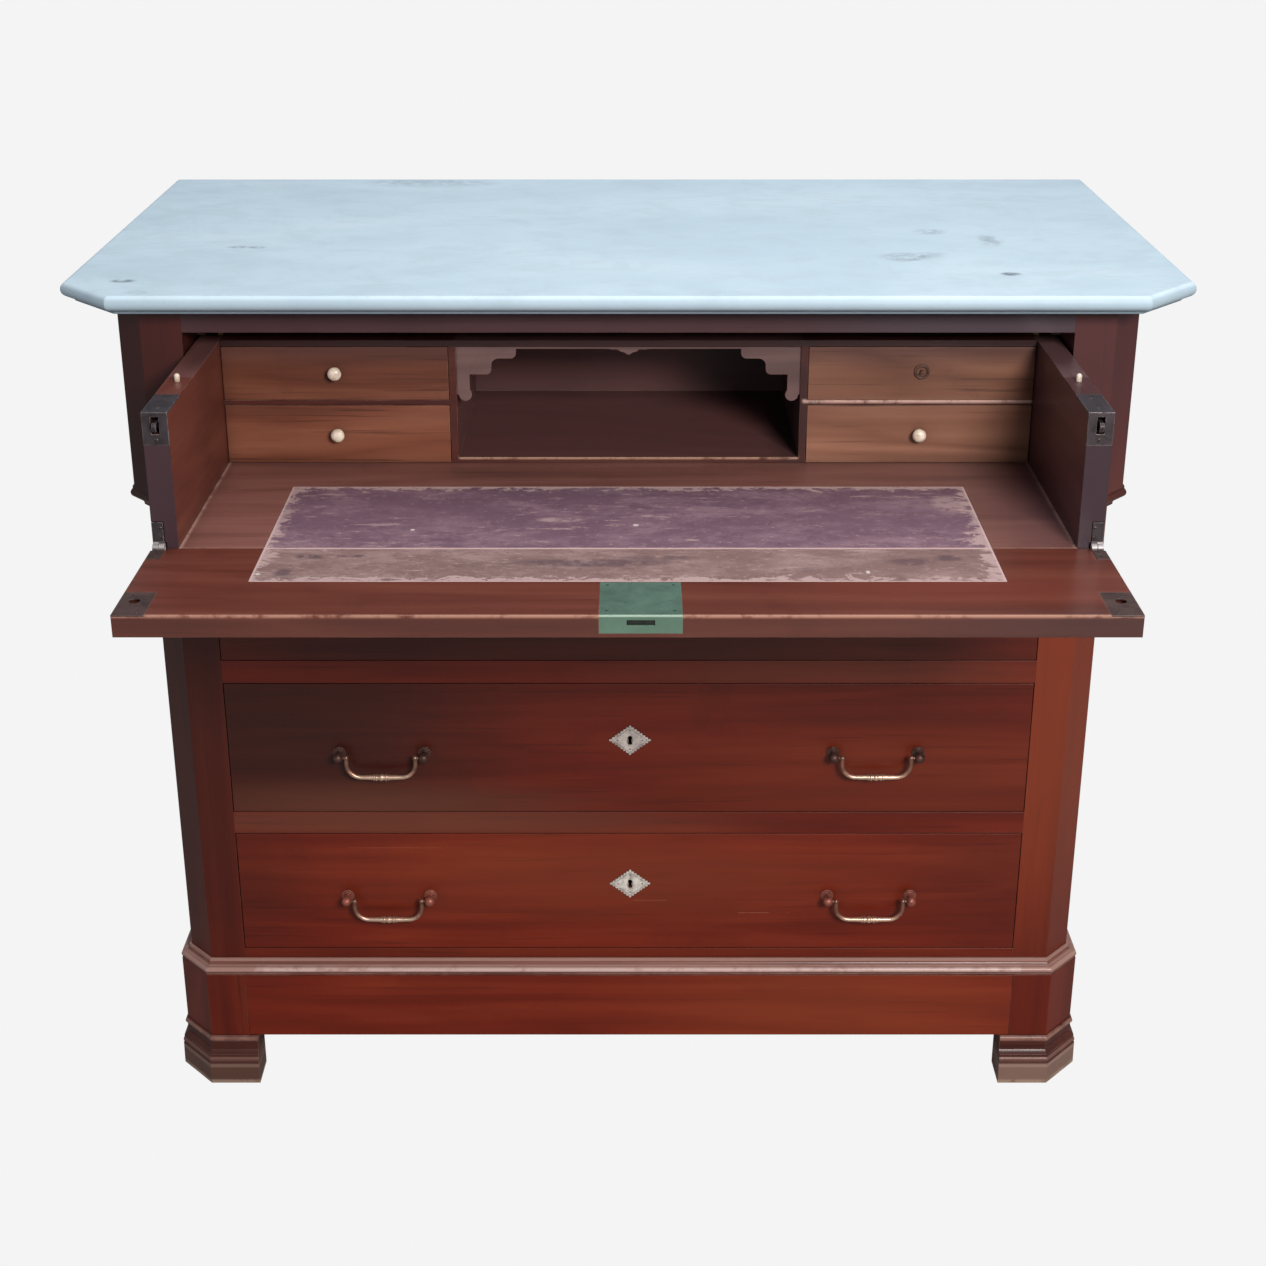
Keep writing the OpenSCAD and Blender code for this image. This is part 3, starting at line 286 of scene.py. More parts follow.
# Dark, middle and light tones of each wood
MAHOGANY = ((0.050, 0.0042, 0.0014), (0.116, 0.0098, 0.0028), (0.200, 0.0290, 0.0090))
SHADED = ((0.034, 0.0075, 0.0058), (0.068, 0.0150, 0.0105), (0.115, 0.0310, 0.0210))
NEST = ((0.090, 0.0250, 0.0120), (0.190, 0.0600, 0.0320), (0.290, 0.1120, 0.0660))
LINING = ((0.200, 0.1150, 0.0560), (0.330, 0.2080, 0.1120), (0.460, 0.3150, 0.1850))


def stone():
    """Pale blue-grey stone with faint clouds, a few pits and stains."""
    g = Graph("stone")
    cloud = g.noise(g.move((0.3, 0.1, 0), (1.0, 2.2, 1.0)), 3.0, 6.0, 0.6, 0.9)
    colour = g.ramp(cloud, [(0.25, (0.480, 0.610, 0.695)), (0.55, (0.550, 0.680, 0.765)),
                            (0.85, (0.615, 0.720, 0.790))])
    waves = g.noise(g.move((2.0, 0, 0), (1.3, 2.6, 1.3)), 2.1, 7.0, 0.62, 1.2)
    vein = g.math("ABSOLUTE", g.minus(waves, 0.5))
    colour = g.mix(g.mul(g.step(vein, 0.03, 0.0), 0.07), colour, (0.30, 0.37, 0.43))
    mottle = g.noise(g.move((1.0, 3.0, 0), (1.0, 1.5, 1.0)), 17.0, 5.0, 0.65, 0.6)
    colour = g.mix(g.step(mottle, 0.44, 0.66, 0.0, 0.32), colour, (0.440, 0.550, 0.610))
    fine = g.noise(g.pos, 90.0, 4.0, 0.7)
    colour = g.mix(g.step(fine, 0.52, 0.75, 0.0, 0.20), colour, (0.40, 0.47, 0.52))
    # Stains as (place, radius, stretch, share). A place is (x, distance behind the drawer fronts)
    front = 0.0823
    top = 1.0
    stain = (0.115, 0.140, 0.170)
    stains = (((-0.531, 0.003), 0.012, (1.0, 0.55), 0.75), ((-0.436, 0.157), 0.010, (1.6, 0.6), 0.50),
              ((-0.418, 0.155), 0.007, (1.5, 0.8), 0.40), ((0.350, 0.233), 0.017, (1.0, 0.8), 0.40),
              ((0.305, 0.110), 0.020, (1.2, 0.9), 0.45), ((0.335, 0.120), 0.013, (1.2, 0.9), 0.25),
              ((0.413, 0.192), 0.018, (0.7, 1.5), 0.42), ((0.406, 0.033), 0.009, (1.2, 0.8), 0.85),
              ((-0.260, 0.518), 0.045, (1.7, 0.5), 0.28), ((-0.505, -0.045), 0.012, (1.0, 0.7), 0.22),
              ((0.10, -0.050), 0.016, (1.6, 0.7), 0.12))
    ragged = g.step(g.noise(g.pos, 55.0, 5.0, 0.7), 0.36, 0.60)
    pits = None
    for (x, back), radius, (wide, deep), share in stains:
        patch = g.dot((x, back - front, top), radius, (wide, deep, 4.0), soft=0.45)
        patch = g.mul(g.mul(patch, share), ragged)
        colour = g.mix(patch, colour, stain)
        pits = patch if pits is None else g.math("MAXIMUM", pits, patch)
    arris = g.mul(g.edges(0.003), g.step(g.noise(g.pos, 35.0, 4.0), 0.45, 0.60))
    colour = g.mix(g.mul(arris, 0.18), colour, (0.33, 0.41, 0.46))
    # Heights over which painted shade darkens the rounded nose and then its underside
    nose_shade_starts, nose_shade_ends = 0.9994, 0.9950
    shade_starts, shade_ends = 0.9905, 0.9800
    colour = g.mix(g.step(g.xyz[2], nose_shade_starts, nose_shade_ends, 0.0, 0.48), colour, (0.22, 0.32, 0.40))
    colour = g.mix(g.step(g.xyz[2], shade_starts, shade_ends, 0.0, 0.50), colour, (0.10, 0.14, 0.18))
    # Painted shade in corners and close under the slab
    colour = g.mix(g.mul(g.crevice(0.02, 1.2), 0.8), colour, (0.07, 0.09, 0.11))
    swell = g.mul(g.noise(g.pos, 9.0, 3.0), 0.6)
    height = g.plus(g.mul(fine, 0.25), g.plus(g.mul(pits, -1.2), swell))
    rough = g.plus(g.mul(cloud, 0.18), g.plus(0.40, g.mul(pits, 0.25)))
    normal = g.bump(height, 0.25, 0.0007, g.bevel(0.0025))
    return g.finish(colour, rough, normal, Specular_IOR_Level=0.26)


def leather(name, corners, tones, patches, seed, seam):
    """Old desk leather: rubbed pink along its outer edges, stained and scuffed.

    Corners are the sheet's lowest and highest, and seam is the side where the two sheets meet.
    """
    g = Graph(name)
    base, pale, bare = tones
    low, high = corners
    drift = g.noise(g.move((seed, 0.4, 0), (1.0, 2.0, 1.0)), 16.0, 8.0, 0.72, 0.3)
    colour = g.mix(g.step(drift, 0.42, 0.66, 0.0, 0.75), base, pale)
    torn = g.noise(g.move((seed, 0.0, 0), (1.0, 1.7, 1.0)), 45.0, 7.0, 0.75, 0.5)
    colour = g.mix(g.step(torn, 0.50, 0.66, 0.0, 0.38), colour, shade(base, 0.62))
    side = g.mul(g.least(g.minus(g.xyz[0], low.x), g.minus(high.x, g.xyz[0])), 0.75)
    near = g.minus(g.xyz[1], low.y)
    far = g.minus(high.y, g.xyz[1])
    rim = g.least(side, g.least(near, far))
    outer_rim = g.least(side, far if seam == "near" else near)
    ragged_rim = g.plus(outer_rim, g.mul(g.minus(torn, 0.5), 0.085))
    colour = g.mix(g.step(ragged_rim, 0.0080, 0.0060, 0.0, 0.92), colour, bare)
    colour = g.mix(g.step(rim, 0.0022, 0.0010, 0.0, 0.9), colour, shade(bare, 1.25))
    scrape = g.noise(g.move((seed, 1.0, 0), (8.0, 46.0, 8.0)), 2.2, 7.0, 0.78, 0.3)
    colour = g.mix(g.step(scrape, 0.590, 0.615, 0.0, 0.62), colour, bare)
    fleck = g.noise(g.move((seed, 2.0, 0), (1.0, 1.6, 1.0)), 130.0, 5.0, 0.7, 0.4)
    colour = g.mix(g.step(fleck, 0.600, 0.640, 0.0, 0.45), colour, bare)
    colour = g.mix(g.step(fleck, 0.400, 0.360, 0.0, 0.50), colour, shade(base, 0.55))
    ragged = g.step(g.noise(g.pos, 60.0, 4.0, 0.7), 0.34, 0.56)
    for place, radius, stretch, share, tint in patches:
        patch = g.mul(g.dot(place, radius, stretch, soft=0.35), share)
        colour = g.mix(g.mul(patch, ragged), colour, tint)
    grain = g.cells(g.pos, 900.0)
    crease = g.noise(g.pos, 240.0, 4.0, 0.6)
    colour = g.mix(g.mul(g.step(grain, 0.25, 0.0), 0.22), colour, shade(base, 0.4))
    height = g.plus(g.mul(grain, 0.6), g.plus(g.mul(crease, 0.5), g.mul(torn, 1.2)))
    rough = g.plus(0.52, g.mul(torn, 0.25))
    return g.finish(colour, rough, g.bump(height, 0.45, 0.0005), Specular_IOR_Level=0.32)


def metal(name, dark, mid, bright, metallic, rough, seed=0.0, wear=0.6, edge=0.0006, spots=0.4, scale=60.0,
          crust=(0.06, 0.035, 0.022), extra=None):
    """Aged metal: patchy, darker in its corners, rubbed bright on its edges."""
    g = Graph(name)
    cloud = g.noise(g.move((seed, seed, 0)), scale, 5.0, 0.65, 0.3)
    colour = g.ramp(cloud, [(0.28, dark), (0.52, mid), (0.80, shade(mid, 1.35))])
    speck = g.step(g.noise(g.move((0, seed, 1.0)), scale * 5, 4.0, 0.7), 0.55, 0.68)
    colour = g.mix(g.mul(speck, spots), colour, crust)
    rubbed = g.mul(g.edges(edge), g.step(g.noise(g.pos, scale * 3, 3.0), 0.34, 0.55))
    colour = g.mix(g.mul(rubbed, wear), colour, bright)
    colour = g.mix(g.mul(g.crevice(0.006, 1.2), 0.75), colour, shade(dark, 0.3))
    shine = g.plus(g.plus(rough, g.mul(speck, 0.18)), g.mul(cloud, 0.16))
    if extra:
        colour, shine = extra(g, colour, shine)
    height = g.plus(g.mul(cloud, 0.6), g.mul(speck, -0.5))
    normal = g.bump(height, 0.35, 0.0003, g.bevel(edge))
    return g.finish(colour, shine, normal, Metallic=metallic)


def bone(name, dark, light, seed):
    """Yellowed bone with fine pores."""
    g = Graph(name)
    cloud = g.noise(g.move((seed, 0, 0)), 140.0, 4.0, 0.6)
    colour = g.ramp(cloud, [(0.30, dark), (0.62, light)])
    pores = g.step(g.noise(g.move((0, 0, seed), (1, 5, 1)), 600.0, 3.0), 0.60, 0.70)
    colour = g.mix(g.mul(pores, 0.35), colour, (0.22, 0.13, 0.07))
    # Darker in hollows and where the knob meets the wood: grime and painted shade
    colour = g.mix(g.mul(g.crevice(0.006, 1.1), 0.8), colour, (0.07, 0.03, 0.015))
    rough = g.plus(0.26, g.mul(cloud, 0.2))
    return g.finish(colour, rough, g.bump(cloud, 0.2, 0.0003), Subsurface_Weight=0.06)


def dress(node, material):
    """Gives a CAD node its one material."""
    data = nodes[node].data
    data.materials.clear()
    data.materials.append(material)


def painted(lines=(), veils=(), spots=()):
    """What is laid over a material: broken lines, even veils and soft round spots, which carry wear and
    stains as well as painted light, shade and highlights.

    A line or a veil is (spans, share, tint), and a spot is (place, radius, stretch, share, tint).
    """
    def paint(g, colour, shine):
        for spans, share, tint in veils:
            colour = g.mix(g.mul(g.region(**spans), share), colour, tint)
        for place, radius, stretch, share, tint in spots:
            colour = g.mix(g.mul(g.dot(place, radius, stretch, soft=0.75), share), colour, tint)
        broken = g.step(g.noise(g.pos, 40.0, 4.0, 0.7), 0.30, 0.52)
        for spans, share, tint in lines:
            mask = g.mul(g.mul(g.region(**spans), broken), share)
            colour = g.mix(mask, colour, tint)
            shine = g.plus(shine, g.mul(mask, 0.12))
        return colour, shine
    return paint


def toned(tones, share):
    """The same wood, lighter or darker."""
    return tuple(shade(tone, share) for tone in tones)


# How far a painted span reaches past a face, and spans that run past the case's ends and top
SKIN = 0.001
FAR = 0.70
LEFT_CORNER = (-FAR, -0.40)
RIGHT_CORNER = (0.40, FAR)
ABOVE_CASE = 1.10


def band(level, below=SKIN, above=SKIN):
    """A thin span about a level, in metres."""
    return level - below, level + above


# The case

# The first tone below is painted shadow and the second painted light, laid as patches on the fronts, stiles
# and plinth
PAINTED_SHADOW = (0.018, 0.0050, 0.0035)
PAINTED_LIGHT = (0.260, 0.052, 0.018)
EMBER = (0.120, 0.042, 0.024)
RAIL_HIGHLIGHT = (0.125, 0.0480, 0.0290)
SCRATCH = (0.33, 0.13, 0.08)
DUSKY = (0.060, 0.0260, 0.0300)
front_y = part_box("long_front_1")[0].y

dress("marble_top", stone())

# Patches on the long fronts: painted shadow below the fall and towards the ends, and painted light
top_long_spots = (((-0.10, 0, 0.60), 0.13, (4.5, 3.0, 1.0), 0.55, PAINTED_SHADOW),)
middle_long_spots = (((-0.43, 0, 0.46), 0.15, (1.6, 3.0, 0.8), 0.80, PAINTED_SHADOW),
                     ((-0.30, 0, 0.375), 0.060, (3.6, 3.0, 0.45), 0.55, EMBER),
                     ((0.30, 0, 0.40), 0.14, (1.6, 3.0, 0.5), 0.12, PAINTED_LIGHT))
low_long_spots = (((-0.46, 0, 0.27), 0.07, (1.0, 3.0, 1.2), 0.40, PAINTED_SHADOW),
                  ((-0.02, 0, 0.28), 0.13, (2.2, 3.0, 0.4), 0.30, PAINTED_LIGHT),
                  ((0.44, 0, 0.28), 0.12, (0.8, 3.0, 0.8), 0.35, PAINTED_SHADOW))
scratches = [(dict(x=x, y=band(front_y), z=z, soft=0.0006), share, SCRATCH)
             for x, z, share in (((0.13, 0.19), (0.2290, 0.2298), 0.5),
                                 ((0.005, 0.045), (0.2462, 0.2469), 0.4),
                                 ((-0.33, -0.22), (0.3180, 0.3186), 0.3))]
# Each front's tone share, lines and spots. The shares tone the fronts under the fall darker and the lowest
# lighter, as painted shade and light
long_looks = ((0.90, (), top_long_spots),
              (0.86, (), middle_long_spots),
              (1.20, scratches, low_long_spots))
for index, (share, lines, spots) in enumerate(long_looks):
    name = f"long_front_{index + 1}"
    dress(name, wood(name, *toned(MAHOGANY, share), seed=1.3 + 2.7 * index, figure=0.8, rough=0.30,
                     worn=0.25, extra=painted(lines=lines, spots=spots)))

# A patch of painted light on the plinth front
plinth_spots = (((0.25, 0, 0.10), 0.12, (1.8, 3.0, 0.6), 0.35, PAINTED_LIGHT),)
# The plinth front is toned lighter still, as painted light
dress("plinth_drawer", wood("plinth_front", *toned(MAHOGANY, 1.28), seed=9.1, figure=0.6, rough=0.34,
                            extra=painted(spots=plinth_spots)))

rail_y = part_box("drawer_rails")[0].y
# Painted highlights along the tops of two rails
rail_spots = (((-0.27, rail_y, 0.353), 0.020, (15, 1.5, 1.0), 0.50, RAIL_HIGHLIGHT),
              ((0.25, rail_y, 0.547), 0.020, (10, 1.5, 1.0), 0.30, RAIL_HIGHLIGHT))
dress("drawer_rails", wood("rails", *MAHOGANY, seed=4.4, figure=0.5, rough=0.32, worn=0.12,
                           extra=painted(spots=rail_spots)))

TOP_RAIL = ((0.026, 0.0110, 0.0130), (0.054, 0.0230, 0.0270), (0.084, 0.0420, 0.0480))
# Painted light on the right end of the top rail
top_rail_lit_end = ((dict(x=(0.22, FAR), soft=0.10), 0.65, (0.056, 0.0440, 0.0570)),)
dress("top_frame", wood("top_frame", *TOP_RAIL, seed=5.2, figure=0.5, extra=painted(veils=top_rail_lit_end)))
dress("waist_moulding", wood("waist_moulding", *SHADED, seed=6.6, rough=0.30))

base_low, base_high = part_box("base_moulding")
PINKISH_WOOD = ((0.085, 0.0260, 0.0190), (0.170, 0.0620, 0.0470), (0.270, 0.1250, 0.1000))
torus_crest = (base_low.z + 0.0052, base_low.z + 0.0092)
torus_face = (base_low.z + 0.0045, base_low.z + 0.0100)
# A painted highlight with wear along the torus crest, and painted highlights on the top fillet and the torus
# face
base_wear_and_highlight_lines = ((dict(x=(-0.45, 0.47), z=torus_crest, soft=0.0010), 0.50, (0.66, 0.52, 0.50)),)
base_highlight_bands = ((dict(z=band(base_high.z, below=0.0034), soft=0.0006), 0.65, (0.44, 0.26, 0.22)),
              (dict(z=torus_face, soft=0.0012), 0.60, (0.46, 0.28, 0.24)))
dress("base_moulding", wood("base_moulding", *PINKISH_WOOD, seed=7.3, rough=0.26, worn=0.8,
                            worn_colour=(0.46, 0.29, 0.24), extra=painted(base_wear_and_highlight_lines, base_highlight_bands)))
dress("plinth_frame", wood("plinth_frame", *MAHOGANY, along="z", seed=8.8, figure=0.6))

waist_low, waist_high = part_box("waist_moulding")
above_waist = ((waist_low.z + waist_high.z) / 2, ABOVE_CASE)
stile_veils = ((dict(x=RIGHT_CORNER, z=above_waist, soft=0.004), 0.78, DUSKY),
               (dict(x=LEFT_CORNER, z=above_waist, soft=0.004), 0.45, DUSKY))
# Painted shadow on the left stile and painted light on the right one
stile_spots = (((-0.55, 0, 0.62), 0.20, (1.0, 3.0, 2.2), 0.72, PAINTED_SHADOW),
               ((0.50, 0, 0.48), 0.16, (1.0, 3.0, 1.6), 0.40, PAINTED_LIGHT))
dress("stiles", wood("stiles", *MAHOGANY, along="z", seed=3.9, figure=0.6, rough=0.32,
                     extra=painted(veils=stile_veils, spots=stile_spots)))

# Heights on the foot, from the floor up
sole_edge = (-SKIN, 0.0045)
lower_part = (-SKIN, 0.0250)
lower_part_and_bead = (-SKIN, 0.0275)
bead = (0.0225, 0.0275)
upper_bead = (0.0310, 0.0365)
top_fillet = (0.0570, 0.0625)
top_edge = (0.0560, 0.0630)
whole_foot = (-SKIN, 0.080)
foot_lines = ((dict(z=top_edge), 0.45, (0.36, 0.180, 0.145)),
              (dict(z=sole_edge), 0.60, (0.42, 0.300, 0.220)))
foot_bands = ((dict(z=top_fillet, soft=0.0008), 0.40, (0.30, 0.150, 0.120)),
              (dict(z=upper_bead, soft=0.0010), 0.50, (0.26, 0.130, 0.105)),
              (dict(z=lower_part, soft=0.0030), 0.42, (0.190, 0.110, 0.080)),
              (dict(z=bead, soft=0.0012), 0.55, (0.34, 0.215, 0.175)),
              # Painted light on the right feet and painted shade on the left ones
              (dict(x=RIGHT_CORNER, z=lower_part_and_bead), 0.30, (0.400, 0.270, 0.225)),
              (dict(x=LEFT_CORNER, z=whole_foot), 0.22, (0.030, 0.012, 0.008)))
dress("feet", wood("feet", *SHADED, seed=2.2, worn=0.9, rough=0.34, worn_colour=(0.32, 0.17, 0.12),
                   extra=painted(foot_lines, foot_bands)))
for name, seed in (("side_panel_left", 11.0), ("side_panel_right", 12.5)):
    dress(name, wood(name, *MAHOGANY, along="z", seed=seed, figure=1.1, rough=0.36))
dress("back_panel", wood("back_panel", *LINING, along="z", seed=13.0, rough=0.70, pore=0.6, worn=0.2))
dress("drawer_runners", wood("runners", *LINING, along="y", seed=14.0, rough=0.66, pore=0.6, worn=0.3))
for index in (1, 2, 3):
    name = f"long_box_{index}"
    dress(name, wood(name, *LINING, along="y", seed=15.0 + index, rough=0.64, pore=0.6))

# The desk drawer and its fall

fall_low, fall_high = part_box("fall_front")
desk_low, desk_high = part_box("desk_board")
iron_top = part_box("desk_ironwork")[1].z
pin_back_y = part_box("thumb_pin_left")[1].y
side_front_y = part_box("desk_side_left")[0].y
REDDISH = ((0.062, 0.0160, 0.0110), (0.135, 0.0350, 0.0230), (0.205, 0.0640, 0.0420))
# Darker purplish tones for the right desk side, as painted shade
SHADED_PURPLISH = ((0.036, 0.0120, 0.0135), (0.062, 0.0205, 0.0225), (0.100, 0.0370, 0.0380))
behind_pin = (pin_back_y + 0.010, desk_high.y + 0.200)
side_veils = ((dict(y=band(side_front_y, above=0.0012), soft=0.0005), 0.88, (0.036, 0.0225, 0.0310)),
              (dict(y=behind_pin, z=band(iron_top, below=0.0008)), 0.55, (0.180, 0.108, 0.115)))
for name, seed, tones in (("desk_side_left", 21.0, REDDISH), ("desk_side_right", 22.5, SHADED_PURPLISH)):
    dress(name, wood(name, *tones, along="y", seed=seed, rough=0.34, worn=0.65,
                     worn_colour=(0.30, 0.19, 0.17), extra=painted(veils=side_veils)))

BOARD = ((0.095, 0.0360, 0.0290), (0.210, 0.0830, 0.0680), (0.310, 0.1450, 0.1180))
SEAM = (0.46, 0.27, 0.22)
board_lines = [(dict(x=band(sign * desk_high.x, 0.0030, 0.0030), z=band(desk_high.z)), share, SEAM)
               for sign, share in ((-1, 1.0), (1, 0.55))]
board_lines.append((dict(y=band(desk_low.y, above=0.0018), z=band(desk_high.z, below=0.003)),
                    0.6, (0.36, 0.19, 0.14)))
board_spots = (((0.48, -0.17, desk_high.z), 0.10, (1.1, 1.6, 9), 0.65, (0.075, 0.040, 0.047)),
               ((-0.34, -0.05, desk_high.z), 0.05, (1.8, 0.7, 9), 0.35, (0.090, 0.036, 0.034)))
dress("desk_board", wood("desk_board", *BOARD, seed=23.0, figure=0.7, rough=0.36,
                         extra=painted(board_lines, spots=board_spots)))

FALL = ((0.062, 0.0140, 0.0090), (0.132, 0.0330, 0.0210), (0.215, 0.0680, 0.0450))
fall_mid_z = (fall_low.z + fall_high.z) / 2
fall_lines = ((dict(y=band(fall_low.y, above=0.0016), z=band(fall_high.z, below=0.0022)),
               0.9, (0.50, 0.27, 0.20)),)
fall_veils = ((dict(y=band(fall_low.y, above=0.0012), z=(fall_low.z - SKIN, fall_high.z - 0.0025)),
               0.60, (0.045, 0.0240, 0.0220)),)
fall_spots = (((0.50, fall_low.y, fall_mid_z), 0.013, (17, 1.0, 1.3), 0.60, (0.040, 0.0240, 0.0250)),
              ((0.30, -0.40, fall_high.z), 0.045, (3.0, 0.6, 0.2), 0.35, (0.190, 0.0340, 0.0220)))
dress("fall_front", wood("fall_front", *FALL, seed=24.6, figure=0.9, rough=0.28, worn=0.8,
                         worn_colour=(0.42, 0.21, 0.15), extra=painted(fall_lines, fall_veils, fall_spots)))

# The nest with its small drawers

nest_low, nest_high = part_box("nest_case")
nest_face = band(nest_low.y, above=0.002)
hole_x = (-0.1885, 0.1885)
hole_y = (nest_low.y + 0.004, nest_high.y + 0.010)
hole_floor = (nest_low.z - 0.01, nest_low.z + 0.0085)
floor_board_edge = dict(x=(-0.187, 0.187), y=nest_face, z=(0.7905, 0.7935))
right_shelf_edge = dict(x=(0.19, 0.44), y=nest_face, z=(0.8555, 0.8590))
PIGEONHOLE_SHADOW = (0.010, 0.0080, 0.0110)
nest_lines = ((floor_board_edge, 0.9, (0.56, 0.33, 0.24)),
              (right_shelf_edge, 1.0, (0.58, 0.38, 0.32)))
nest_veils = ((dict(x=hole_x, y=hole_y), 0.36, (0.205, 0.108, 0.112)),
              (dict(x=hole_x, y=hole_y, z=hole_floor), 0.55, (0.150, 0.0560, 0.0430)),
              # Painted shade on the front edge of the nest's top board, under the top rail
              (dict(y=nest_face, z=band(nest_high.z, below=0.0072), soft=0.0005),
               0.80, (0.016, 0.0070, 0.0075)))
nest_spots = (((-0.03, nest_low.y + 0.020, nest_low.z + 0.006), 0.022, (7.5, 1.6, 0.6), 0.60,
               (0.230, 0.0880, 0.0660)),
              # Painted shadow in the right of the pigeonhole
              ((0.145, nest_high.y, 0.875), 0.075, (1.0, 0.8, 1.0), 0.88, PIGEONHOLE_SHADOW),
              ((0.186, nest_low.y + 0.10, 0.850), 0.080, (0.3, 1.6, 1.0), 0.80, PIGEONHOLE_SHADOW))
dress("nest_case", wood("nest_case", *SHADED, seed=25.0, rough=0.45, worn=0.8,
                        worn_colour=(0.30, 0.16, 0.11), extra=painted(nest_lines, nest_veils, nest_spots)))
VALANCE = ((0.060, 0.0350, 0.0340), (0.125, 0.0720, 0.0690), (0.180, 0.1120, 0.1050))
dress("valance", wood("valance", *VALANCE, seed=26.0, rough=0.5))
GREYER = ((0.115, 0.0440, 0.0250), (0.230, 0.0980, 0.0600), (0.340, 0.1650, 0.1060))
# Name, tones, tone share and share of painted shadow along the top of each small drawer; the upper drawers
# are toned darker as painted shade
small_drawers = (("small_drawer_upper_left", NEST, 0.70, 0.60),
                 ("small_drawer_lower_left", NEST, 0.95, 0.15),
                 ("small_drawer_upper_right", GREYER, 0.70, 0.60),
                 ("small_drawer_lower_right", GREYER, 0.95, 0.15))
for index, (name, tones, share, top_shadow_share) in enumerate(small_drawers):
    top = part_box(name)[1].z
    top_shadow_veils = ((dict(z=(top - 0.016, top + 0.010), soft=0.014), top_shadow_share, (0.052, 0.0230, 0.0240)),)
    dress(name, wood(name, *toned(tones, share), seed=31.0 + 1.9 * index, figure=1.2, rough=0.42, pore=0.6,
                     worn=0.55, contrast=0.8, worn_colour=(0.42, 0.24, 0.15),
                     extra=painted(veils=top_shadow_veils)))

# The leather

PURPLE = (0.160, 0.086, 0.122)
MAUVE = (0.280, 0.172, 0.208)
PINK = (0.455, 0.315, 0.305)
BROWN_MAUVE = (0.215, 0.128, 0.118)
PALE_MAUVE = (0.345, 0.228, 0.218)
DUSK = (0.105, 0.060, 0.070)
BARE_DESK = (0.62, 0.52, 0.50)
BARE_FALL = (0.64, 0.54, 0.52)
leather_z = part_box("desk_leather")[1].z
desk_patches = (((-0.07, -0.22, leather_z), 0.010, (2.2, 0.7, 9), 0.7, PINK),
                ((0.008, -0.235, leather_z), 0.003, (1, 1, 9), 1.0, BARE_DESK),
                ((-0.217, -0.248, leather_z), 0.0022, (1, 1, 9), 1.0, BARE_DESK),
                ((0.30, -0.18, leather_z), 0.030, (1.6, 0.6, 9), 0.5, MAUVE),
                ((0.26, -0.22, leather_z), 0.060, (1.6, 0.5, 9), 0.6, PURPLE),
                ((-0.25, -0.20, leather_z), 0.080, (1.6, 0.4, 9), 0.5, PURPLE),
                ((0.335, -0.175, leather_z), 0.020, (0.9, 1.2, 9), 0.6, PINK))
dress("desk_leather", leather("desk_leather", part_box("desk_leather"), (PURPLE, MAUVE, PINK),
                              desk_patches, seed=0.0, seam="near"))
fall_patches = (((-0.308, -0.319, leather_z), 0.0080, (1.9, 0.6, 9), 0.90, DUSK),
                ((-0.270, -0.317, leather_z), 0.0065, (2.0, 0.6, 9), 0.80, DUSK),
                ((-0.329, -0.358, leather_z), 0.0080, (1.1, 1.0, 9), 0.80, DUSK),
                ((-0.150, -0.340, leather_z), 0.0100, (3.0, 0.6, 9), 0.35, DUSK),
                ((-0.038, -0.334, leather_z), 0.0120, (6.0, 0.8, 9), 0.80, DUSK),
                ((0.030, -0.321, leather_z), 0.0080, (4.5, 0.7, 9), 0.60, DUSK),
                ((0.170, -0.352, leather_z), 0.0080, (3.0, 0.7, 9), 0.40, DUSK),
                ((0.273, -0.332, leather_z), 0.0110, (2.0, 0.8, 9), 0.75, DUSK),
                ((0.311, -0.322, leather_z), 0.0090, (1.8, 0.8, 9), 0.85, DUSK),
                ((-0.352, -0.362, leather_z), 0.0022, (1.2, 1.3, 9), 1.0, BARE_FALL),
                ((0.229, -0.357, leather_z), 0.0020, (1.0, 1.8, 9), 0.9, BARE_FALL))
dress("fall_leather", leather("fall_leather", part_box("fall_leather"), (BROWN_MAUVE, PALE_MAUVE, PINK),
                              fall_patches, seed=4.0, seam="far"))

# The metalwork. Each metal has a dark, a middle and a rubbed tone

IRON = ((0.024, 0.019, 0.023), (0.056, 0.045, 0.052), (0.56, 0.48, 0.47))
IRON_BROWN = ((0.034, 0.0190, 0.0170), (0.078, 0.0440, 0.0390), (0.30, 0.22, 0.20))
RUSTY = ((0.035, 0.0150, 0.0110), (0.085, 0.0360, 0.0260), (0.30, 0.17, 0.13))
# A painted highlight on the hinge knuckles
knuckle = dict(y=band(desk_low.y, 0.0046, 0.0080), z=band(fall_high.z, 0.006, 0.0065), soft=0.0006)
knuckle_highlight = painted(veils=((knuckle, 0.85, (0.50, 0.46, 0.47)),))
dress("desk_ironwork", metal("desk_iron", *IRON, metallic=0.55, rough=0.40, seed=1.0, wear=0.85, edge=0.0009,
                             extra=knuckle_highlight))
dress("fall_ironwork", metal("fall_iron", *IRON_BROWN, metallic=0.35, rough=0.42, seed=5.0, wear=0.5,
                             edge=0.0007, extra=knuckle_highlight))
iron_mat = metal("iron", *IRON, metallic=0.55, rough=0.40, seed=1.7, wear=0.85, edge=0.0009)
for name in ("catch_left", "catch_right", "lock_bolt_1", "lock_bolt_2", "lock_bolt_3"):
    dress(name, iron_mat)
dress("knob_stub_upper_right", metal("rusty_iron", *RUSTY, metallic=0.3, rough=0.5, seed=2.9, wear=0.6,
                                     scale=140.0))
SOOT = ((0.010, 0.013, 0.012), (0.022, 0.028, 0.025), (0.12, 0.14, 0.12))
dress("fall_bolt", metal("sooty_iron", *SOOT, metallic=0.5, rough=0.5, seed=7.0, wear=0.4))


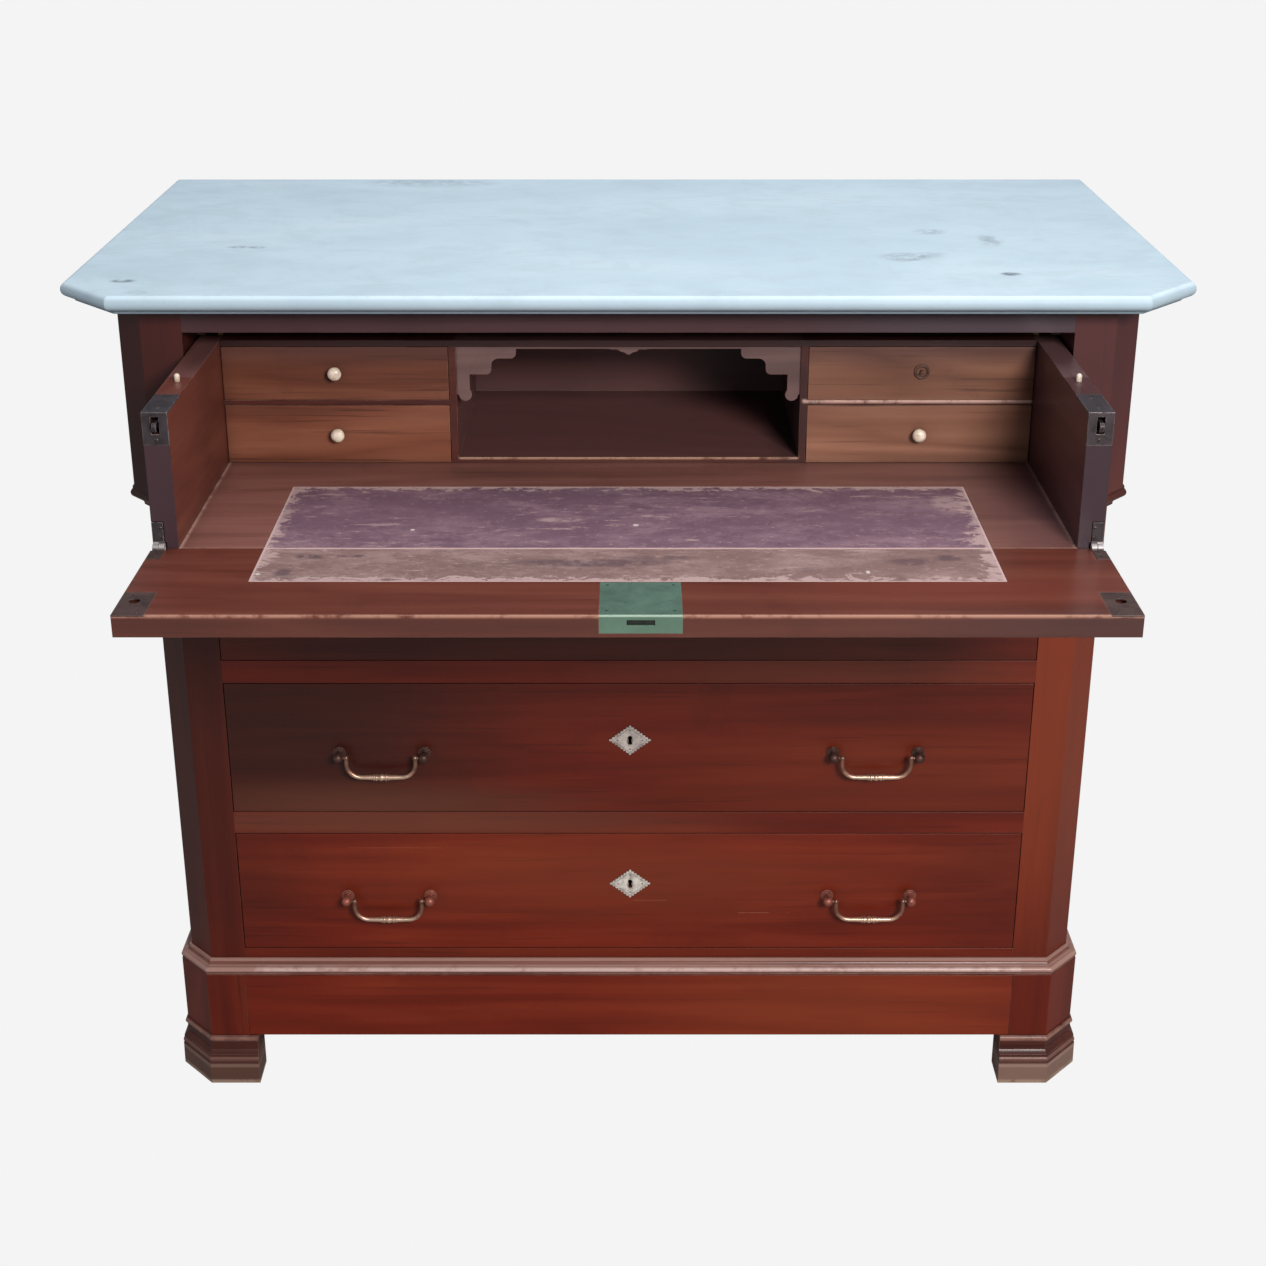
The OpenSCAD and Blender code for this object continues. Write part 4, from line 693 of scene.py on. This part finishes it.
def patina_edge(g, colour, shine):
    """The front leaf of the lock is paler than its top."""
    front = g.region(y=band(fall_low.y, 0.01, 0.0022), soft=0.0004)
    colour = g.mix(g.mul(front, 0.55), colour, (0.105, 0.190, 0.140))
    lip = g.region(y=band(fall_low.y, 0.01, 0.0014), z=band(fall_high.z, 0.0016, 0.01), soft=0.0005)
    return g.mix(g.mul(lip, 0.8), colour, (0.42, 0.56, 0.46)), shine


GREEN = ((0.052, 0.100, 0.074), (0.084, 0.152, 0.116), (0.30, 0.42, 0.33))
dress("fall_lock", metal("green_brass", *GREEN, metallic=0.25, rough=0.48, seed=2.0, wear=0.7, scale=30.0,
                         crust=(0.05, 0.11, 0.08), extra=patina_edge))
BRASS = ((0.150, 0.066, 0.046), (0.460, 0.250, 0.180), (0.95, 0.72, 0.58))
# The posts of the two upper drawers are toned darker and those of the lowest lighter, as painted shade and
# light
POSTS = (((0.022, 0.0110, 0.0100), (0.060, 0.0290, 0.0260), (0.34, 0.20, 0.16)),
         ((0.030, 0.0140, 0.0120), (0.085, 0.0380, 0.0320), (0.40, 0.23, 0.18)),
         ((0.120, 0.0360, 0.0260), (0.330, 0.1050, 0.0760), (0.75, 0.40, 0.32)))
LIT_BRASS = (0.78, 0.60, 0.46)
DULL_BRASS = (0.150, 0.070, 0.052)
for index, post_tones in enumerate(POSTS, start=1):
    dress(f"pull_posts_{index}", metal(f"post_{index}", *post_tones, metallic=0.6, rough=0.40,
                                       seed=13.0 + index, wear=0.6, scale=150.0, spots=0.4))
    low_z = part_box(f"bail_{index}_left")[0].z
    lit_bar = painted(veils=((dict(z=band(low_z, above=0.0075), soft=0.0015), 0.55, LIT_BRASS),
                             (dict(z=(low_z + 0.0130, low_z + 0.050), soft=0.003), 0.60, DULL_BRASS)))
    brass = metal(f"brass_{index}", *BRASS, metallic=0.75, rough=0.30, seed=3.0 + index, wear=0.5,
                  scale=120.0, spots=0.3, extra=lit_bar)
    for name in (f"bail_{index}_left", f"bail_{index}_right"):
        dress(name, brass)


def beaded(node):
    """A dark beaded line inside the lozenge's edge, a dark ring about the keyhole, and the four pins."""
    low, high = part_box(node)
    middle = (low + high) / 2
    half = (high - low) / 2
    keyhole = (middle.x, middle.y, middle.z - 0.001)

    def paint(g, colour, shine):
        across = g.math("ABSOLUTE", g.mul(g.plus(g.xyz[0], -middle.x), 1 / half.x))
        upright = g.math("ABSOLUTE", g.mul(g.plus(g.xyz[2], -middle.z), 1 / half.z))
        out = g.plus(across, upright)
        line = g.mul(g.step(out, 0.76, 0.80), g.step(out, 0.90, 0.86))
        beads = g.step(g.cells(g.pos, 560.0, random_amount=0.25), 0.30, 0.55)
        colour = g.mix(g.mul(g.mul(line, beads), 0.75), colour, (0.085, 0.066, 0.058))
        colour = g.mix(g.step(out, 0.93, 1.0, 0.0, 0.35), colour, (0.10, 0.075, 0.068))
        halo = g.dot(keyhole, 0.0036, (1, 9, 1.5), soft=0.25)
        colour = g.mix(g.mul(halo, 0.70), colour, (0.060, 0.046, 0.042))
        for dx, dz in ((-0.60, 0), (0.60, 0), (0, -0.60), (0, 0.66)):
            place = (middle.x + dx * half.x, middle.y, middle.z + dz * half.z)
            pin = g.dot(place, 0.0010, (1, 9, 1), soft=0.3)
            colour = g.mix(g.mul(pin, 0.85), colour, (0.07, 0.052, 0.045))
        return colour, shine
    return paint


PALE = ((0.24, 0.20, 0.19), (0.50, 0.45, 0.42), (0.94, 0.91, 0.87))
PALER = ((0.34, 0.31, 0.28), (0.70, 0.66, 0.61), (0.97, 0.95, 0.91))
key_plates = (("key_plate_1", PALE), ("key_plate_2", PALE), ("key_plate_3", PALER), ("fall_key_plate", PALE))
for index, (name, tones) in enumerate(key_plates):
    beads = None if name == "fall_key_plate" else beaded(name)
    dress(name, metal(f"pale_metal_{index}", *tones, metallic=0.35, rough=0.40, seed=6.0 + index, wear=0.5,
                      scale=110.0, spots=0.35, crust=(0.17, 0.14, 0.10), extra=beads))
BONE_DARK = (0.50, 0.38, 0.29)
BONE_LIGHT = (0.80, 0.69, 0.58)
for index, name in enumerate(("knob_upper_left", "knob_lower_left", "knob_lower_right",
                              "thumb_pin_left", "thumb_pin_right")):
    dress(name, bone(f"bone_{index}", BONE_DARK, BONE_LIGHT, index * 1.7))


# Small fastenings, made as meshes


def lathe(name, profile, sides):
    """A turned mesh about Z from (radius, height) points, closed at its ends."""
    mesh = bpy.data.meshes.new(name)
    bm = bmesh.new()
    rings = []
    for radius, height in profile:
        ring = []
        for k in range(sides):
            angle = 2 * math.pi * k / sides
            ring.append(bm.verts.new((radius * math.cos(angle), radius * math.sin(angle), height)))
        rings.append(ring)
    for low, high in zip(rings, rings[1:]):
        for k in range(sides):
            bm.faces.new((low[k], low[(k + 1) % sides], high[(k + 1) % sides], high[k]))
    bm.faces.new(list(reversed(rings[0])))
    bm.faces.new(rings[-1])
    bm.to_mesh(mesh)
    bm.free()
    for face in mesh.polygons:
        face.use_smooth = len(face.vertices) == 4
    obj = bpy.data.objects.new(name, mesh)
    bpy.context.scene.collection.objects.link(obj)
    return obj


def slotted(name, turn, dark=(0.035, 0.028, 0.026), light=(0.16, 0.13, 0.12)):
    """Screw metal with a dark slot across the head, in the screw's own coordinates."""
    g = Graph(name)
    turned = g.move(turn=(0, 0, turn))
    split = g.add("ShaderNodeSeparateXYZ")
    g.link(turned, split.inputs[0])
    slot_outer, slot_inner = 0.00042, 0.00026
    narrow = g.step(g.math("ABSOLUTE", split.outputs[0]), slot_outer, slot_inner)
    groove = g.mul(narrow, g.step(split.outputs[2], 0.0, 0.0002))
    cloud = g.noise(g.pos, 700.0, 4.0, 0.6)
    colour = g.ramp(cloud, [(0.3, dark), (0.7, light)])
    colour = g.mix(groove, colour, shade(dark, 0.2))
    height = g.plus(g.mul(groove, -2.0), g.mul(cloud, 0.4))
    rough = g.plus(0.34, g.mul(cloud, 0.2))
    return g.finish(colour, rough, g.bump(height, 0.6, 0.0004), Metallic=0.8)


screw_mats = [slotted(f"screw_metal_{k}", turn) for k, turn in enumerate((0.4, 1.5, 2.6))]
green_screw = slotted("green_screw_metal", 0.9, (0.040, 0.080, 0.060), (0.075, 0.135, 0.105))
screw_count = 0


def screw(place, normal, body, radius=0.0021, material=None):
    """A slotted screw head set nearly flush in a plate."""
    global screw_count
    sunk, rise = -0.0010, 0.0003
    profile = [(radius * 0.9, sunk), (radius, -0.0001), (radius * 0.96, rise * 0.5),
               (radius * 0.6, rise), (radius * 0.1, rise * 1.1)]
    obj = lathe(f"screw_{screw_count}", profile, sides=20)
    obj.rotation_euler = Vector(normal).to_track_quat("Z", "Y").to_euler()
    obj.location = place
    obj.data.materials.append(material or screw_mats[screw_count % len(screw_mats)])
    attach(obj, body)
    screw_count += 1


side_low, side_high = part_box("desk_side_right")
side_mid = (side_low.x + side_high.x) / 2
desk_top = side_high.z
writing_z = fall_high.z
UP, FORWARD = (0, 0, 1), (0, -1, 0)
# Places on the fittings, and the radii of the screw heads in each
HINGE_X = 0.4610
HINGE_PLATE_X = side_mid * 1.008
STRIKE_X = 0.4540
FALL_EDGE_TO_HINGE = 0.020
CATCH_FRONT_DOWN = 0.0280
CATCH_SCREW = 0.0024
HINGE_SCREW = 0.0017
STRIKE_SCREW = 0.0018
LOCK_SCREW = 0.0015
for sign in (-1, 1):
    # Catch plate: one in the front leaf, two in the top leaf
    screw((sign * side_mid, side_low.y, desk_top - CATCH_FRONT_DOWN), FORWARD, "desk")
    for back in (0.016, 0.046):
        screw((sign * side_mid, side_low.y + back, desk_top), UP, "desk", CATCH_SCREW)
    # Hinge leaves, on the desk side and on the fall
    for up in (0.011, 0.021):
        screw((sign * HINGE_PLATE_X, side_low.y, writing_z + up), FORWARD, "desk", HINGE_SCREW)
    for back in (0.012, 0.021):
        leaf_y = fall_high.y - FALL_EDGE_TO_HINGE - back
        screw((sign * HINGE_X, leaf_y, writing_z), UP, "fall", HINGE_SCREW)
    # Strike plates on the fall
    for dx, dy in ((-0.0080, 0.0080), (0.0040, 0.0440)):
        screw((sign * (STRIKE_X + dx), fall_low.y + dy, writing_z), UP, "fall", STRIKE_SCREW)
lock_low, lock_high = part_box("fall_lock")
for x in (lock_low.x + 0.007, lock_high.x - 0.007):
    for y in (lock_low.y + 0.010, lock_high.y - 0.007):
        screw((x, y, lock_high.z), UP, "fall", LOCK_SCREW, green_screw)


# Floor, light and camera


PAPER_WHITE = (0.905, 0.905, 0.905, 1.0)


def paper():
    """A pale floor that shows the same even white as the background."""
    g = Graph("floor")
    lit = g.add("ShaderNodeBsdfDiffuse")
    lit.inputs["Color"].default_value = (0.34, 0.32, 0.31, 1.0)
    plain = g.add("ShaderNodeEmission")
    plain.inputs["Color"].default_value = PAPER_WHITE
    path = g.add("ShaderNodeLightPath")
    both = g.add("ShaderNodeMixShader")
    g.link(path.outputs["Is Camera Ray"], both.inputs[0])
    g.link(lit.outputs[0], both.inputs[1])
    g.link(plain.outputs[0], both.inputs[2])
    out = g.add("ShaderNodeOutputMaterial")
    g.link(both.outputs[0], out.inputs[0])
    return g.mat


floor_mesh = bpy.data.meshes.new("floor")
floor_half = 6.0
floor_z = -0.0005
floor_corners = [(x * floor_half, y * floor_half, floor_z) for x, y in ((-1, -1), (1, -1), (1, 1), (-1, 1))]
floor_mesh.from_pydata(floor_corners, [], [(0, 1, 2, 3)])
floor = bpy.data.objects.new("floor", floor_mesh)
bpy.context.scene.collection.objects.link(floor)
floor_mesh.materials.append(paper())

# The background is white to the camera and a weak pale blue to everything else
world = bpy.data.worlds.new("studio")
bpy.context.scene.world = world
world.use_nodes = True
tree = world.node_tree
tree.nodes.clear()
soft = tree.nodes.new("ShaderNodeBackground")
soft.inputs["Color"].default_value = (0.90, 0.94, 1.0, 1.0)
soft.inputs["Strength"].default_value = 0.32
white = tree.nodes.new("ShaderNodeBackground")
white.inputs["Color"].default_value = PAPER_WHITE
path = tree.nodes.new("ShaderNodeLightPath")
choose = tree.nodes.new("ShaderNodeMixShader")
out = tree.nodes.new("ShaderNodeOutputWorld")
tree.links.new(path.outputs["Is Camera Ray"], choose.inputs[0])
tree.links.new(soft.outputs[0], choose.inputs[1])
tree.links.new(white.outputs[0], choose.inputs[2])
tree.links.new(choose.outputs[0], out.inputs[0])


def area_light(name, place, aim, size, power, colour):
    """A rectangular light that points at a place."""
    light = bpy.data.lights.new(name, "AREA")
    light.shape = "RECTANGLE"
    light.size, light.size_y = size
    light.energy = power
    light.color = colour
    obj = bpy.data.objects.new(name, light)
    obj.location = place
    obj.rotation_euler = (Vector(aim) - Vector(place)).to_track_quat("-Z", "Y").to_euler()
    bpy.context.scene.collection.objects.link(obj)


area_light("key", (1.0, -2.6, 2.1), (0.1, -0.1, 0.4), size=(0.8, 0.7), power=96, colour=(1.0, 0.95, 0.90))
area_light("fill", (-2.2, -2.4, 1.0), (0, 0, 0.5), size=(1.8, 1.2), power=7, colour=(0.92, 0.95, 1.0))
area_light("top", (0.2, 0.2, 3.0), (0, 0, 1.0), size=(2.2, 1.6), power=28, colour=(0.92, 0.96, 1.0))
area_light("back", (0.3, 3.0, 0.7), (0, 0.3, 0.5), size=(1.6, 1.0), power=14, colour=(0.95, 0.97, 1.0))

# The camera fitted to the photo
tilt_down = 20.778
camera_data = bpy.data.cameras.new("camera")
camera_data.lens = 54.383
camera_data.sensor_width = 36.0
camera_data.shift_y = -0.10506
camera = bpy.data.objects.new("camera", camera_data)
camera.location = (0.00493, -2.03788, 1.49717)
camera.rotation_euler = (math.radians(90 - tilt_down), 0, 0)
bpy.context.scene.collection.objects.link(camera)
bpy.context.scene.camera = camera
bpy.context.scene.view_settings.view_transform = "Standard"
